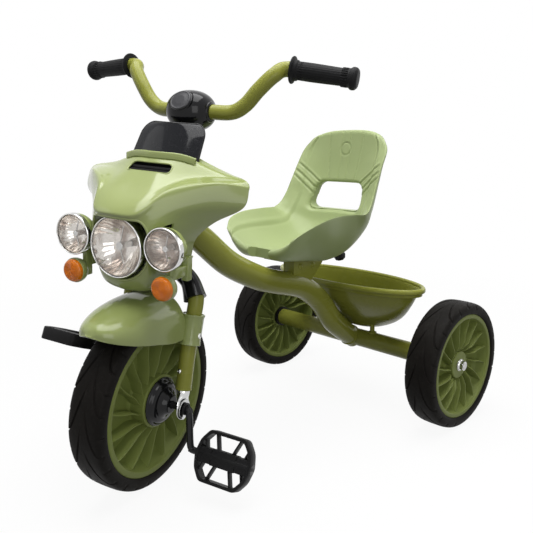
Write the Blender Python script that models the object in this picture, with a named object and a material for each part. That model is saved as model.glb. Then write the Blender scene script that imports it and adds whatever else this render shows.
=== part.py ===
"""Child's tricycle: steel frame tube, raked fork with a faired front end, bucket seat and rear basket."""

import math

import bmesh
import bpy
import numpy as np
from mathutils import Matrix, Vector

# Driving dimensions, in metres. The front of the tricycle looks along -Y and the rider's left is +X.
GAP = 0.0003  # clearance between pieces that touch
RUN = 0.0006  # radial clearance of a turning piece on its shaft
WHEELBASE = 0.4815
TRACK = 0.430  # between the middles of the rear tyres
REAR_AXLE_Y = 0.2515
FRONT_AXLE_Y = REAR_AXLE_Y - WHEELBASE

FRONT_RADIUS = 0.130
FRONT_RIM_RADIUS = 0.1105
FRONT_LIFT = 0.0005  # the turned front wheel leans, so its axle stands this much above its radius
FRONT_WIDTH = 0.0545
FRONT_HUB_RADIUS = 0.039
REAR_RADIUS = 0.109
REAR_RIM_RADIUS = 0.0900
REAR_WIDTH = 0.0540
REAR_HUB_RADIUS = 0.0240
REAR_HUB_FACE = 0.0150  # the hub's outer face, from the middle of the wheel
RIM_INSET = 0.0027  # how far the rim's faces stand inside the tyre's
VANES = 16
WHEEL_SIDES = 32  # flats round a tyre or a rim
VANE_THICK = 0.0024

HEAD_OFFSET = 0.0073  # the steering axis passes this far behind the front axle
RAKE = math.radians(13.5)
REST_STEER = math.radians(20.5)  # the front end stands turned to the rider's left

MAIN_TUBE_RADIUS = 0.0190
CROSS_TUBE_RADIUS = 0.0168
TUBE_WALL = 0.0016
CROSS_TUBE_WALL = 0.0020
WHEEL_ROOM = 0.0190  # from the cross tube's end to the middle of a rear tyre
CROSS_TUBE_HALF = TRACK / 2 - WHEEL_ROOM
ROD_RADIUS = 0.0060
ROD_CHAMFER = 0.0010
NUT_RADIUS = 0.0088  # over the hexagon's corners
BUSH_RADIUS = 0.0205
BUSH_THICK = 0.0080
BUSH_DEEP = 0.0180  # how far a bush reaches into the cross tube

HEAD_LOW = 0.2220  # heights above the front axle, along the steering axis
HEAD_HIGH = 0.2880
HEAD_TUBE_RADIUS = 0.0205
HEAD_TUBE_WALL = 0.0022
STEERER_RADIUS = 0.0110
BEARING_FLANGE = 0.0060
BEARING_DEEP = 0.0100
CROWN_HIGH = 0.1950
STEM_LOW = 0.3000
STEM_RADIUS = 0.0190
KNUCKLE_HIGH = 0.4017
KNUCKLE_SIZE = (0.0350, 0.0350, 0.0290)
BADGE_RADIUS = 0.0150
BADGE_SEAT = 0.0295  # from the knuckle's middle to the flat that the badge lies on
BADGE_FACING = (0.0, -0.80, 0.60)
NECK_DEEP = 0.0260  # how far below the knuckle's middle the stem cover ends

LEG_RADIUS = 0.0112
LEG_WALL = 0.0015
LEG_SPACING = 0.0550  # from the middle plane to a fork leg
SLEEVE_WALL = 0.0043
SLEEVE_RADIUS = LEG_RADIUS + SLEEVE_WALL
SCREW_RADIUS = 0.0018
SCREW_DEEP = 0.0025
CROWN_COVER_WALL = 0.0030
CROWN_COVER_RADIUS = LEG_RADIUS + CROWN_COVER_WALL
FENDER_WALL = 0.0026
TYRE_ROOM = 0.0060  # between the tyre's tread and the fender's inside
TYRE_ROOM_HALF = 0.0420
DROPOUT_X = 0.0650
DROPOUT_THICK = 0.0040
DROPOUT_INSET = 0.0012  # how far a dropout's head stands inside the leg's outline, front and back
DROPOUT_HEAD = 0.0040
EYE_RADIUS = 0.0135

CRANK_RADIUS = 0.0050
CRANK_LENGTH = 0.0600
CRANK_ELBOW_X = 0.0755
PEDAL_X = 0.1350
PEDAL_WIDTH = 0.0880
PEDAL_LENGTH = 0.0710
PEDAL_THICK = 0.0180
PEDAL_RIM = 0.0050
PEDAL_SLEEVE_RADIUS = 0.0088
LEFT_PEDAL_TURN = math.radians(62)
RIGHT_PEDAL_TURN = math.radians(-23)

BAR_RADIUS = 0.0105
BAR_WALL = 0.0016
GRIP_RADIUS = 0.0130
GRIP_FLANGE = 0.0190
GRIP_END_FLANGE = 0.0165
GRIP_LENGTH = 0.0880
GRIP_CAP = 0.0050
GRIP_INNER_END = (0.1354, 0.1420, 0.4638)  # both ends of the left grip's line, from the front axle
GRIP_OUTER_END = (0.2223, 0.1550, 0.4553)

LAMP_HIGH = 0.2321
LAMP_FORWARD = 0.0604
LAMP_RADIUS = 0.0405
LAMP_BULGE = 0.0070
LAMP_ROOM = 0.0015  # between the headlamp and the well in the fairing
HEADLAMP_DEEP = 0.0420
SIDE_LAMP_X = 0.0745
SIDE_LAMP_HIGH = 0.2390
SIDE_LAMP_RADIUS = 0.0290
SIDE_LAMP_DEEP = 0.0300
SIDE_LAMP_BULGE = 0.0050
INDICATOR_X = 0.0715
INDICATOR_HIGH = 0.1895
INDICATOR_RADIUS = 0.0168
INDICATOR_DEEP = 0.0160
INDICATOR_BULGE = 0.0040
FAIRING_WALL = 0.0026
LINER_MARGIN = 0.0050  # how far the liner stands inside the fairing's rear edge
LINER_THICK = 0.0030
LINER_CROWN = 0.0040
VENT_AT = (0.0, 0.0065, 0.3267)
VENT_HALF = (0.0310, 0.0080)
VENT_TILT = math.radians(37)
SCREEN_FOOT = 0.3270
SCREEN_HEAD = 0.3850
SCREEN_THICK = 0.0022
BRACKET_BACK = 0.0360  # the crossbar's rear face, from the front axle
BRACKET_THICK = 0.0060
ARM_X = (0.0680, 0.0780)

SEAT_Y = -0.1500  # the seat's datum, from the rear axle
SEAT_RAIL_THICK = 0.0040
SEAT_RAIL_HALF_WIDTH = 0.0220
SEAT_PAD_DEEP = 0.0006  # the rail's top lies this deep in a flat pocket of the seat
RAIL_AHEAD = 0.0700  # the rail's two ends, from the seat's datum
RAIL_BEHIND = 0.0150
STUD_RADIUS = 0.0016
KNOB_BEHIND = 0.1050
KNOB_DROP = 0.0110
KNOB_RADIUS = 0.0100
KNOB_LONG = 0.0150
SADDLE_HALF = 0.0210
BASKET_HALF_WIDTH = 0.1680
BASKET_HALF_LENGTH = 0.0640
BASKET_Y = -0.0240
BASKET_HIGH = 0.1270  # the rim's top, above the rear axle
BASKET_DEEP = 0.1060
BASKET_WALL = 0.0028
BASKET_LIP = 0.0050  # how far the rolled rim stands out
BASKET_ROLL = 0.0090
BASKET_SIDES = 28
# the bowl's rings: size against the rim's, height against the depth, and how far back the ring stands
BASKET_SHAPE = [
    (0.0, 0.0, 0.034), (0.25, 0.03, 0.038), (0.48, 0.16, 0.036), (0.68, 0.36, 0.023), (0.84, 0.62, 0.008),
    (0.94, 0.86, 0.002), (1.0, 1.0, 0.0),
]
POST_X = 0.0450
POST_RADIUS = 0.0045

OLIVE = (0.175, 0.190, 0.045)
SAGE = (0.235, 0.290, 0.130)
PALE_SAGE = (0.330, 0.400, 0.215)
RIM_GREEN = (0.190, 0.240, 0.095)
BLACK = (0.012, 0.012, 0.013)
TYRE_BLACK = (0.016, 0.014, 0.013)
CHROME = (0.80, 0.80, 0.79)
AMBER = (0.65, 0.16, 0.01)
CLEAR = (0.85, 0.85, 0.83)
SMOKE = (0.03, 0.03, 0.035)


def clear_scene():
    for obj in list(bpy.data.objects):
        bpy.data.objects.remove(obj, do_unlink=True)


def material(name, colour, roughness, metallic=0.0):
    made = bpy.data.materials.new(name)
    made.use_nodes = True
    shader = made.node_tree.nodes["Principled BSDF"]
    shader.inputs["Base Color"].default_value = (*colour, 1.0)
    shader.inputs["Roughness"].default_value = roughness
    shader.inputs["Metallic"].default_value = metallic
    return made


def empty(name, parent=None, location=(0, 0, 0), rotation=(0, 0, 0)):
    made = bpy.data.objects.new(name, None)
    bpy.context.scene.collection.objects.link(made)
    made.parent = parent
    made.location = location
    made.rotation_euler = rotation
    return made


def place(name, bm, finish=None, parent=None, location=(0, 0, 0), smooth=True):
    """An object from a bmesh, faces turned outwards and round stretches shaded smooth."""
    bmesh.ops.remove_doubles(bm, verts=bm.verts, dist=1e-6)
    bmesh.ops.recalc_face_normals(bm, faces=bm.faces)
    mesh = bpy.data.meshes.new(name)
    bm.to_mesh(mesh)
    bm.free()
    if smooth:
        mesh.shade_smooth()
        mesh.set_sharp_from_angle(angle=math.radians(35))
    if finish:
        mesh.materials.append(finish)
    made = bpy.data.objects.new(name, mesh)
    bpy.context.scene.collection.objects.link(made)
    made.parent = parent
    made.location = location
    return made


def helper(obj):
    """Marks an object that only shapes another one."""
    obj.hide_render = True
    obj.display_type = "WIRE"
    return obj


def boolean(obj, other, operation="DIFFERENCE"):
    step = obj.modifiers.new(operation.title(), "BOOLEAN")
    step.operation = operation
    step.solver = "EXACT"
    step.object = helper(other)
    return obj


def aim(obj, direction):
    """Turns the object's local X along a direction."""
    obj.rotation_mode = "QUATERNION"
    obj.rotation_quaternion = Vector((1, 0, 0)).rotation_difference(Vector(direction).normalized())
    return obj


def between(near, t):
    """A place on the Catmull-Rom curve through four points, from the second (t = 0) to the third (t = 1)."""
    a, b, c, d = near
    bend = 2 * a - 5 * b + 4 * c - d
    return 0.5 * (2 * b + (c - a) * t + bend * t**2 + (3 * b - a - 3 * c + d) * t**3)


def smooth_path(points, per_span=6):
    """Points along a Catmull-Rom curve through the given ones."""
    ends = [2 * Vector(points[0]) - Vector(points[1])]
    ends += [Vector(p) for p in points]
    ends.append(2 * Vector(points[-1]) - Vector(points[-2]))
    found = []
    for near in zip(ends, ends[1:], ends[2:], ends[3:]):
        found += [between(near, step / per_span) for step in range(per_span)]
    found.append(Vector(points[-1]))
    return found


def mirrored(points):
    """A half path from the middle plane outwards, with its mirror image put before it."""
    other = [(-x, y, z) for x, y, z in reversed(points)]
    return other + (points[1:] if abs(points[0][0]) < 1e-9 else points)


def turned_mesh(profile, segments):
    """A solid turned round X. The profile is a list of (along X, radius), closed or ending on the axis."""
    bm = bmesh.new()
    verts = [bm.verts.new((along, 0.0, radius)) for along, radius in profile]
    edges = [bm.edges.new(pair) for pair in zip(verts, verts[1:])]
    if min(profile[0][1], profile[-1][1]) > 0:
        edges.append(bm.edges.new((verts[-1], verts[0])))
    bmesh.ops.spin(
        bm, geom=verts + edges, axis=(1, 0, 0), cent=(0, 0, 0), angle=2 * math.pi, steps=segments,
        use_merge=True,
    )
    return bm


def swept_mesh(path, radius, bore=0.0, sides=16):
    """A round bar, or a tube with a bore, along a path."""
    path = [Vector(p) for p in path]
    bm = bmesh.new()
    tangent = (path[1] - path[0]).normalized()
    side = tangent.orthogonal().normalized()
    rings = {radius: [], bore: []}
    for index, point in enumerate(path):
        ahead = path[min(index + 1, len(path) - 1)] - path[max(index - 1, 0)]
        turn = tangent.rotation_difference(ahead.normalized())
        side = (turn @ side).normalized()
        tangent = ahead.normalized()
        across = tangent.cross(side)
        for size, found in rings.items():
            if size <= 0:
                continue
            ring = []
            for k in range(sides):
                angle = 2 * math.pi * k / sides
                ring.append(bm.verts.new(point + size * (math.cos(angle) * side + math.sin(angle) * across)))
            found.append(ring)
    for found in rings.values():
        for a, b in zip(found, found[1:]):
            for k in range(sides):
                bm.faces.new((a[k], a[(k + 1) % sides], b[(k + 1) % sides], b[k]))
    if bore > 0:
        for end in (0, -1):
            a, b = rings[radius][end], rings[bore][end]
            for k in range(sides):
                bm.faces.new((a[k], a[(k + 1) % sides], b[(k + 1) % sides], b[k]))
    else:
        for end in (0, -1):
            bm.faces.new(rings[radius][end])
    return bm


def box_mesh(low, high):
    bm = bmesh.new()
    middle = (Vector(low) + Vector(high)) / 2
    size = Vector(high) - Vector(low)
    bmesh.ops.create_cube(bm, size=1.0, matrix=Matrix.Translation(middle) @ Matrix.Diagonal((*size, 1.0)))
    return bm


def prism_mesh(outline, axis, low, high):
    """A flat outline carried along one axis. The outline's two numbers are the other two axes, in order."""
    bm = bmesh.new()
    verts = []
    for a, b in outline:
        point = [a, b]
        point.insert(axis, low)
        verts.append(bm.verts.new(point))
    face = bm.faces.new(verts)
    made = bmesh.ops.extrude_face_region(bm, geom=[face])
    lift = [0.0, 0.0, 0.0]
    lift[axis] = high - low
    bmesh.ops.translate(bm, vec=lift, verts=[v for v in made["geom"] if isinstance(v, bmesh.types.BMVert)])
    return bm


def shell_mesh(outside, inside):
    """A closed shell between two grids of points with the same rows and columns."""
    bm = bmesh.new()
    grids = [[[bm.verts.new(p) for p in row] for row in grid] for grid in (outside, inside)]
    rows, columns = len(outside), len(outside[0])
    for grid in grids:
        for r in range(rows - 1):
            for c in range(columns - 1):
                bm.faces.new((grid[r][c], grid[r][c + 1], grid[r + 1][c + 1], grid[r + 1][c]))
    edge = [(0, c) for c in range(columns - 1)] + [(r, columns - 1) for r in range(rows - 1)]
    edge += [(rows - 1, c) for c in range(columns - 1, 0, -1)] + [(r, 0) for r in range(rows - 1, 0, -1)]
    for a, b in zip(edge, edge[1:] + edge[:1]):
        out, inn = grids
        bm.faces.new((out[a[0]][a[1]], out[b[0]][b[1]], inn[b[0]][b[1]], inn[a[0]][a[1]]))
    return bm


def spline_rows(rows, count):
    """Each column of a list of rows, carried smoothly to a new number of rows."""
    rows = np.array(rows, float)
    places = np.linspace(0, len(rows) - 1, count)
    found = []
    for place_at in places:
        i = min(int(place_at), len(rows) - 2)
        near = [rows[min(max(k, 0), len(rows) - 1)] for k in range(i - 1, i + 3)]
        found.append(between(near, place_at - i))
    return found


def front(x, dy, dz):
    """A place on the straight-ahead front end, measured from the front axle's middle."""
    return Vector((x, FRONT_AXLE_Y + dy, FRONT_RADIUS + FRONT_LIFT + dz))


def rear(x, dy, dz):
    """A place on the rear end, measured from the rear axle's middle."""
    return Vector((x, REAR_AXLE_Y + dy, REAR_RADIUS + dz))


def on_axis(dz, forward=0.0):
    """A place on the steering axis at a height above the front axle."""
    return front(0, HEAD_OFFSET + dz * math.tan(RAKE) - forward, dz)


def main_tube_path():
    """From the rear cross tube, up and forward to the head tube."""
    join = on_axis((HEAD_LOW + HEAD_HIGH) / 2 - 0.004)
    bend = [(0.0, -0.004), (-0.045, 0.029), (-0.070, 0.051), (-0.095, 0.083), (-0.121, 0.107)]
    bend += [(-0.158, 0.126), (-0.222, 0.144), (-0.262, 0.160)]
    points = [rear(0, dy, dz) for dy, dz in bend]
    points.append(join + Vector((0, 0.096, -0.079)))
    points.append(join + Vector((0, 0.044, -0.034)))
    points.append(join)
    return smooth_path(points, 2)


def fork_path():
    """Half of the fork's bent tube, from the middle of the crown down one leg."""
    crown = on_axis(CROWN_HIGH)
    leg_top = front(LEG_SPACING, 0.0425, 0.150)
    return [
        (0.0, crown.y, crown.z),
        (0.016, crown.y, crown.z - 0.001),
        (0.034, crown.y - 0.002, crown.z - 0.007),
        (0.0475, crown.y - 0.005, crown.z - 0.020),
        tuple(leg_top),
        tuple(front(LEG_SPACING, 0.0330, 0.108)),
        tuple(front(LEG_SPACING + 0.0010, 0.0215, 0.065)),
        tuple(front(LEG_SPACING + 0.0025, 0.0115, 0.022)),
    ]


def whole_fork_path(extend=0.0):
    half = fork_path()
    if extend:
        last, before = Vector(half[-1]), Vector(half[-2])
        half.append(tuple(last + extend * (last - before).normalized()))
    return smooth_path(mirrored(half), 1)


def bar_path():
    """Half of the handlebar, from the middle out to the grip's end."""
    middle = on_axis(KNUCKLE_HIGH)
    start, way = grip_line()
    return [
        (0.0, middle.y, middle.z),
        (0.030, middle.y + 0.001, middle.z + 0.0003),
        tuple(front(0.060, 0.1135, 0.4030)),
        tuple(front(0.080, 0.1160, 0.4140)),
        tuple(front(0.098, 0.1190, 0.4350)),
        tuple(front(0.116, 0.1275, 0.4550)),
        tuple(start - 0.006 * way),
        tuple(start + GRIP_LENGTH * way),
    ]


def grip_line():
    """Where the left grip starts, and the direction in which it runs outwards."""
    start = front(*GRIP_INNER_END)
    return start, (front(*GRIP_OUTER_END) - start).normalized()


def seat_plane(dy):
    """Height of the seat's flat underside, above the rear axle."""
    return 0.1790 - 0.118 * (dy - SEAT_Y)


def tyre(name, finish, parent, centre, radius, rim_radius, width):
    half = width / 2
    rim = rim_radius + GAP
    tall = radius - rim
    outer = [(0.88, 0.0), (1.0, 0.25), (0.985, 0.64), (0.82, 0.91), (0.0, 1.0)]
    side = [(half * a, rim + tall * b) for a, b in outer]
    profile = side + [(-along, r) for along, r in reversed(side[:-1])]
    return place(name, turned_mesh(profile, WHEEL_SIDES), finish, parent, centre)


def rim_profile(radius, width, hub_radius, bore, hub_low, hub_high, web):
    """Band, dished web and hub of a wheel, as one closed outline."""
    half = width / 2 - RIM_INSET
    lip = radius - 0.006
    return [
        (-half, radius),
        (half, radius),
        (half, lip),
        (web + 0.0015, lip - 0.008),
        (web + 0.0015, hub_radius),
        (hub_high, hub_radius - 0.0015),
        (hub_high, bore),
        (hub_low, bore),
        (hub_low, hub_radius - 0.0015),
        (web - 0.0015, hub_radius),
        (web - 0.0015, lip - 0.008),
        (-half, lip),
    ]


def vane_mesh(radius, width, hub_radius, low, high):
    """Slanting vanes between the hub and the band, on both sides of the web."""
    bm = bmesh.new()
    inner = hub_radius - 0.0012
    outer = radius - 0.0075
    for index in range(VANES):
        slant = Matrix.Rotation(math.radians(14), 4, "Z")
        turn = Matrix.Rotation(2 * math.pi * index / VANES, 4, "X")
        middle = Matrix.Translation(((low + high) / 2, 0, (inner + outer) / 2))
        size = Matrix.Diagonal((high - low, VANE_THICK, outer - inner, 1.0))
        bmesh.ops.create_cube(bm, size=1.0, matrix=turn @ middle @ slant @ size)
    return bm


def rim(name, finish, parent, centre, radius, width, hub_radius, bore, hub_low, hub_high, web):
    profile = rim_profile(radius, width, hub_radius, bore, hub_low, hub_high, web)
    made = place(name, turned_mesh(profile, WHEEL_SIDES), finish, parent, centre)
    half = width / 2 - RIM_INSET - 0.006
    vanes = place(name + "_vanes", vane_mesh(radius, width, hub_radius, -half, half), None, parent, centre)
    return boolean(made, vanes, "UNION")


def make_frame(finishes):
    path = main_tube_path()
    bore = MAIN_TUBE_RADIUS - TUBE_WALL
    tube = place("main_tube", swept_mesh(path, MAIN_TUBE_RADIUS, bore, 16), finishes["olive"])
    cross_cut = place("cross_tube_seat", turned_mesh(
        [(-0.08, 0), (-0.08, CROSS_TUBE_RADIUS + GAP), (0.08, CROSS_TUBE_RADIUS + GAP), (0.08, 0)], 28
    ), None, None, rear(0, 0, 0))
    head_cut = place("head_tube_seat", swept_mesh(
        [on_axis(HEAD_LOW - 0.05), on_axis(HEAD_HIGH + 0.05)], HEAD_TUBE_RADIUS + GAP, 0, 20
    ))
    boolean(boolean(tube, cross_cut), head_cut)

    inner = CROSS_TUBE_RADIUS - CROSS_TUBE_WALL
    place("rear_axle_tube", turned_mesh([
        (-CROSS_TUBE_HALF, CROSS_TUBE_RADIUS), (CROSS_TUBE_HALF, CROSS_TUBE_RADIUS),
        (CROSS_TUBE_HALF, inner), (-CROSS_TUBE_HALF, inner),
    ], 28), finishes["olive"], None, rear(0, 0, 0))

    bore = HEAD_TUBE_RADIUS - HEAD_TUBE_WALL
    ends = [on_axis(HEAD_LOW), on_axis(HEAD_HIGH)]
    place("head_tube", swept_mesh(ends, HEAD_TUBE_RADIUS, bore, 20), finishes["olive"])
    for name, level, way in (("head_bearing_lower", HEAD_LOW, -1), ("head_bearing_upper", HEAD_HIGH, 1)):
        along = (on_axis(1) - on_axis(0)).normalized() * way
        cup = place(name, turned_mesh([
            (GAP, STEERER_RADIUS + RUN), (-BEARING_DEEP, STEERER_RADIUS + RUN), (-BEARING_DEEP, bore - GAP),
            (GAP, bore - GAP), (GAP, HEAD_TUBE_RADIUS), (BEARING_FLANGE, HEAD_TUBE_RADIUS - 0.001),
            (BEARING_FLANGE, STEERER_RADIUS + RUN),
        ], 20), finishes["black"], None, on_axis(level))
        aim(cup, along)


def make_rear_axle(finishes):
    end = TRACK / 2 + REAR_WIDTH / 2 - 0.0010
    place("rear_axle_rod", turned_mesh([
        (-end, 0), (-end, ROD_RADIUS - ROD_CHAMFER), (-end + ROD_CHAMFER, ROD_RADIUS),
        (end - ROD_CHAMFER, ROD_RADIUS), (end, ROD_RADIUS - ROD_CHAMFER), (end, 0),
    ], 16), finishes["steel"], None, rear(0, 0, 0))
    inner = CROSS_TUBE_RADIUS - CROSS_TUBE_WALL
    for side, word in ((1, "left"), (-1, "right")):
        face = CROSS_TUBE_HALF + GAP
        place("tube_bush_" + word, turned_mesh([
            (side * face, BUSH_RADIUS), (side * (face + BUSH_THICK), BUSH_RADIUS - 0.001),
            (side * (face + BUSH_THICK), ROD_RADIUS + GAP), (side * (face - BUSH_DEEP), ROD_RADIUS + GAP),
            (side * (face - BUSH_DEEP), inner - GAP), (side * face, inner - GAP),
        ], 20), finishes["black"], None, rear(0, 0, 0))
        wheel_x = side * TRACK / 2
        pivot = empty("rear_wheel_axis_" + word, None, rear(wheel_x, 0, 0))
        make_rear_wheel(finishes, pivot, side, word)
        seat = TRACK / 2 + REAR_HUB_FACE + GAP
        shape = hexagon_nut(side, seat, end - 0.0004)
        place("axle_nut_" + word, shape, finishes["chrome"], None, rear(0, 0, 0), smooth=False)


def hexagon_nut(side, low, high):
    """A hexagon nut on the rod, bored for it, between two distances from the middle plane."""
    bm = bmesh.new()
    inner = ROD_RADIUS + GAP
    count = 12
    rings = []
    for along in (low, high):
        for radius in (NUT_RADIUS, inner):
            ring = []
            for k in range(count):
                angle = 2 * math.pi * k / count
                far = radius if radius == inner else radius * math.cos(math.pi / 6) / math.cos(
                    (angle + math.pi / 6) % (math.pi / 3) - math.pi / 6
                )
                ring.append(bm.verts.new((side * along, far * math.cos(angle), far * math.sin(angle))))
            rings.append(ring)
    for a, b in ((0, 2), (1, 3), (0, 1), (2, 3)):
        for k in range(count):
            bm.faces.new((rings[a][k], rings[a][(k + 1) % count], rings[b][(k + 1) % count], rings[b][k]))
    return bm


def make_rear_wheel(finishes, pivot, side, word):
    origin = (0, 0, 0)
    tyre("rear_tyre_" + word, finishes["tyre"], pivot, origin, REAR_RADIUS, REAR_RIM_RADIUS, REAR_WIDTH)
    inner_face = -(TRACK / 2 - CROSS_TUBE_HALF - BUSH_THICK - 3 * GAP)
    hub = sorted((side * inner_face, side * REAR_HUB_FACE))
    rim(
        "rear_rim_" + word, finishes["rim"], pivot, origin, REAR_RIM_RADIUS, REAR_WIDTH,
        REAR_HUB_RADIUS, ROD_RADIUS + RUN, hub[0], hub[1], 0.0,
    )


def make_steering():
    """The empties that carry the front end, turned about the raked steering axis."""
    pivot_at = on_axis(HEAD_LOW)
    raked = empty("steering_axis", None, pivot_at, (-RAKE, 0, 0))
    turned = empty("steering_turned", raked, (0, 0, 0), (0, 0, REST_STEER))
    back = Matrix.Rotation(RAKE, 4, "X") @ Matrix.Translation(-pivot_at)
    ahead = empty("straight_ahead", turned)
    ahead.matrix_basis = back
    return ahead


def make_fork(finishes, ahead):
    path = whole_fork_path()
    place("fork_tube", swept_mesh(path, LEG_RADIUS, LEG_RADIUS - LEG_WALL, 12), finishes["olive"], ahead)
    high = [on_axis(CROWN_HIGH + LEG_RADIUS + 0.0006), on_axis(KNUCKLE_HIGH - 0.014)]
    place("steerer", swept_mesh(high, STEERER_RADIUS, 0, 20), finishes["steel"], ahead)

    half = fork_path()[:5]
    cover = place("crown_cover", swept_mesh(mirrored(half), CROWN_COVER_RADIUS, 0, 14),
                  finishes["gloss_black"], ahead)
    around_tube = place("crown_cover_bore", swept_mesh(path, LEG_RADIUS + GAP, 0, 12), None, ahead)
    around_steerer = place("crown_cover_neck", swept_mesh(
        [on_axis(CROWN_HIGH), on_axis(CROWN_HIGH + 0.05)], STEERER_RADIUS + GAP, 0, 20), None, ahead)
    boolean(boolean(cover, around_tube), around_steerer)
    for side, word in ((1, "left"), (-1, "right")):
        make_dropout(finishes, ahead, side, word)


def make_dropout(finishes, ahead, side, word):
    """A flattened chrome tube end with the eye that carries the crank's axle."""
    foot = Vector(fork_path()[-1])
    eye = front(0, 0, 0)
    outline = []
    for k in range(13):
        angle = math.radians(140 + 260 * k / 12)
        outline.append((eye.y + EYE_RADIUS * math.cos(angle), eye.z + EYE_RADIUS * math.sin(angle)))
    way = (foot - Vector(fork_path()[-2])).normalized()
    top = foot.z - LEG_RADIUS * math.sqrt(1 - way.z**2) - GAP
    half = LEG_RADIUS - DROPOUT_INSET
    outline += [(foot.y + half, top - DROPOUT_HEAD), (foot.y + half, top), (foot.y - half, top),
                (foot.y - half, top - DROPOUT_HEAD)]
    low = DROPOUT_X - DROPOUT_THICK / 2
    plate = place("dropout_" + word, prism_mesh(outline, 0, side * low, side * (low + DROPOUT_THICK)),
                  finishes["chrome"], ahead)
    hole = place("dropout_eye_" + word, turned_mesh(
        [(-0.02, 0), (-0.02, CRANK_RADIUS + RUN), (0.02, CRANK_RADIUS + RUN), (0.02, 0)], 20
    ), None, ahead, front(side * DROPOUT_X, 0, 0))
    boolean(plate, hole)


def make_fender(finishes, ahead):
    """Teardrop mudguard over the front tyre, with a sleeve round each fork leg."""
    # distance forward of the axle, ridge height, skirt half width, skirt height, all above the axle
    stations = [
        (0.1310, 0.1240, 0.0040, 0.1180),
        (0.1240, 0.1310, 0.0200, 0.1130),
        (0.1060, 0.1430, 0.0340, 0.1070),
        (0.0780, 0.1535, 0.0450, 0.1030),
        (0.0450, 0.1590, 0.0500, 0.1000),
        (0.0100, 0.1590, 0.0530, 0.0970),
        (-0.0200, 0.1570, 0.0545, 0.0950),
    ]
    outside, inside = [], []
    columns = 10
    for forward, ridge, half, skirt in spline_rows(stations, 11):
        for grid, thick in ((outside, 0.0), (inside, FENDER_WALL)):
            row = []
            for c in range(columns + 1):
                angle = math.pi * c / columns
                across = math.copysign(abs(math.cos(angle)) ** 0.75, math.cos(angle))
                x = -max(half - thick, 0.0008) * across
                z = skirt + (ridge - thick - skirt) * math.sin(angle) ** 0.72
                row.append(front(x, -forward + thick * 0.4, z))
            grid.append(row)
    guard = place("fender", shell_mesh(outside, inside), finishes["sage"], ahead)
    top, bend, low = (Vector(p) for p in fork_path()[4:7])
    for side, word in ((1, "left"), (-1, "right")):
        mirror = Vector((side, 1, 1))
        span = [top.lerp(bend, 0.31) * mirror, bend * mirror, bend.lerp(low, 0.53) * mirror]
        sleeve = place("fender_sleeve_" + word, swept_mesh(span, SLEEVE_RADIUS, 0, 14), None, ahead)
        boolean(guard, sleeve, "UNION")
    bore = place("fender_leg_bores", swept_mesh(whole_fork_path(0.02), LEG_RADIUS + GAP, 0, 12), None, ahead)
    boolean(guard, bore)
    wheel_room = place("fender_wheel_room", turned_mesh([
        (-TYRE_ROOM_HALF, 0), (-TYRE_ROOM_HALF, FRONT_RADIUS + TYRE_ROOM),
        (TYRE_ROOM_HALF, FRONT_RADIUS + TYRE_ROOM), (TYRE_ROOM_HALF, 0),
    ], 32), None, ahead, front(0, 0, 0))
    boolean(guard, wheel_room)
    for side, word in ((1, "left"), (-1, "right")):
        at = front(side * (LEG_SPACING + SLEEVE_RADIUS), 0.0310, 0.100)
        screw = place("fender_screw_" + word, turned_mesh([
            (-SCREW_DEEP, 0), (-SCREW_DEEP, SCREW_RADIUS), (GAP, SCREW_RADIUS), (GAP, 2 * SCREW_RADIUS),
            (0.0012, 2 * SCREW_RADIUS), (0.0021, 0.0022), (0.0021, 0),
        ], 12), finishes["chrome"], ahead, at)
        hole = place("fender_screw_hole_" + word, turned_mesh([
            (-SCREW_DEEP - GAP, 0), (-SCREW_DEEP - GAP, SCREW_RADIUS + GAP), (0.004, SCREW_RADIUS + GAP),
            (0.004, 0),
        ], 12), None, ahead, at)
        for piece in (screw, hole):
            aim(piece, (side, 0, 0))
        boolean(guard, hole)


def make_front_wheel(finishes, ahead):
    pivot = empty("front_wheel_axis", ahead, front(0, 0, 0))
    origin = (0, 0, 0)
    tyre("front_tyre", finishes["tyre"], pivot, origin, FRONT_RADIUS, FRONT_RIM_RADIUS, FRONT_WIDTH)
    face = FRONT_WIDTH / 2 - 0.0010
    rim(
        "front_rim", finishes["rim"], pivot, origin, FRONT_RIM_RADIUS, FRONT_WIDTH,
        FRONT_HUB_RADIUS, CRANK_RADIUS + GAP, -face, face, 0.0,
    )
    for side, word in ((1, "left"), (-1, "right")):
        start = face + GAP
        end, bore = start + 0.0205, CRANK_RADIUS + GAP
        profile = [(start, 0.0345), (start + 0.004, 0.0340), (start + 0.0100, 0.0260),
                   (start + 0.0125, 0.0180), (end, 0.0130), (end, bore), (start, bore)]
        shape = turned_mesh([(side * x, r) for x, r in profile], 24)
        place("hub_cap_" + word, shape, finishes["gloss_black"], pivot)
    place("crank", swept_mesh(crank_path(), CRANK_RADIUS, 0, 12), finishes["black_steel"], pivot)
    for side, word, turn in ((1, "left", LEFT_PEDAL_TURN), (-1, "right", RIGHT_PEDAL_TURN)):
        at = (side * PEDAL_X, 0, -side * CRANK_LENGTH)
        spindle = empty("pedal_axis_" + word, pivot, at, (turn, 0, 0))
        make_pedal(finishes, spindle, "pedal_" + word)


def crank_path():
    """One bent rod: a spindle, an arm, the axle through the hub, and the same again half a turn round."""
    elbow, length = CRANK_ELBOW_X, CRANK_LENGTH
    half = [
        (0.0, 0.0), (elbow - 0.010, 0.0), (elbow - 0.003, -0.0020), (elbow, -0.009),
        (elbow + 0.003, -(length - 0.010)), (elbow + 0.006, -(length - 0.002)), (elbow + 0.013, -length),
        (PEDAL_X + PEDAL_WIDTH / 2 - 0.002, -length),
    ]
    outer = [(x, 0.0, z) for x, z in half[1:]]
    other = [(-x, 0.0, -z) for x, _, z in reversed(outer)]
    return other + outer


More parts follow.
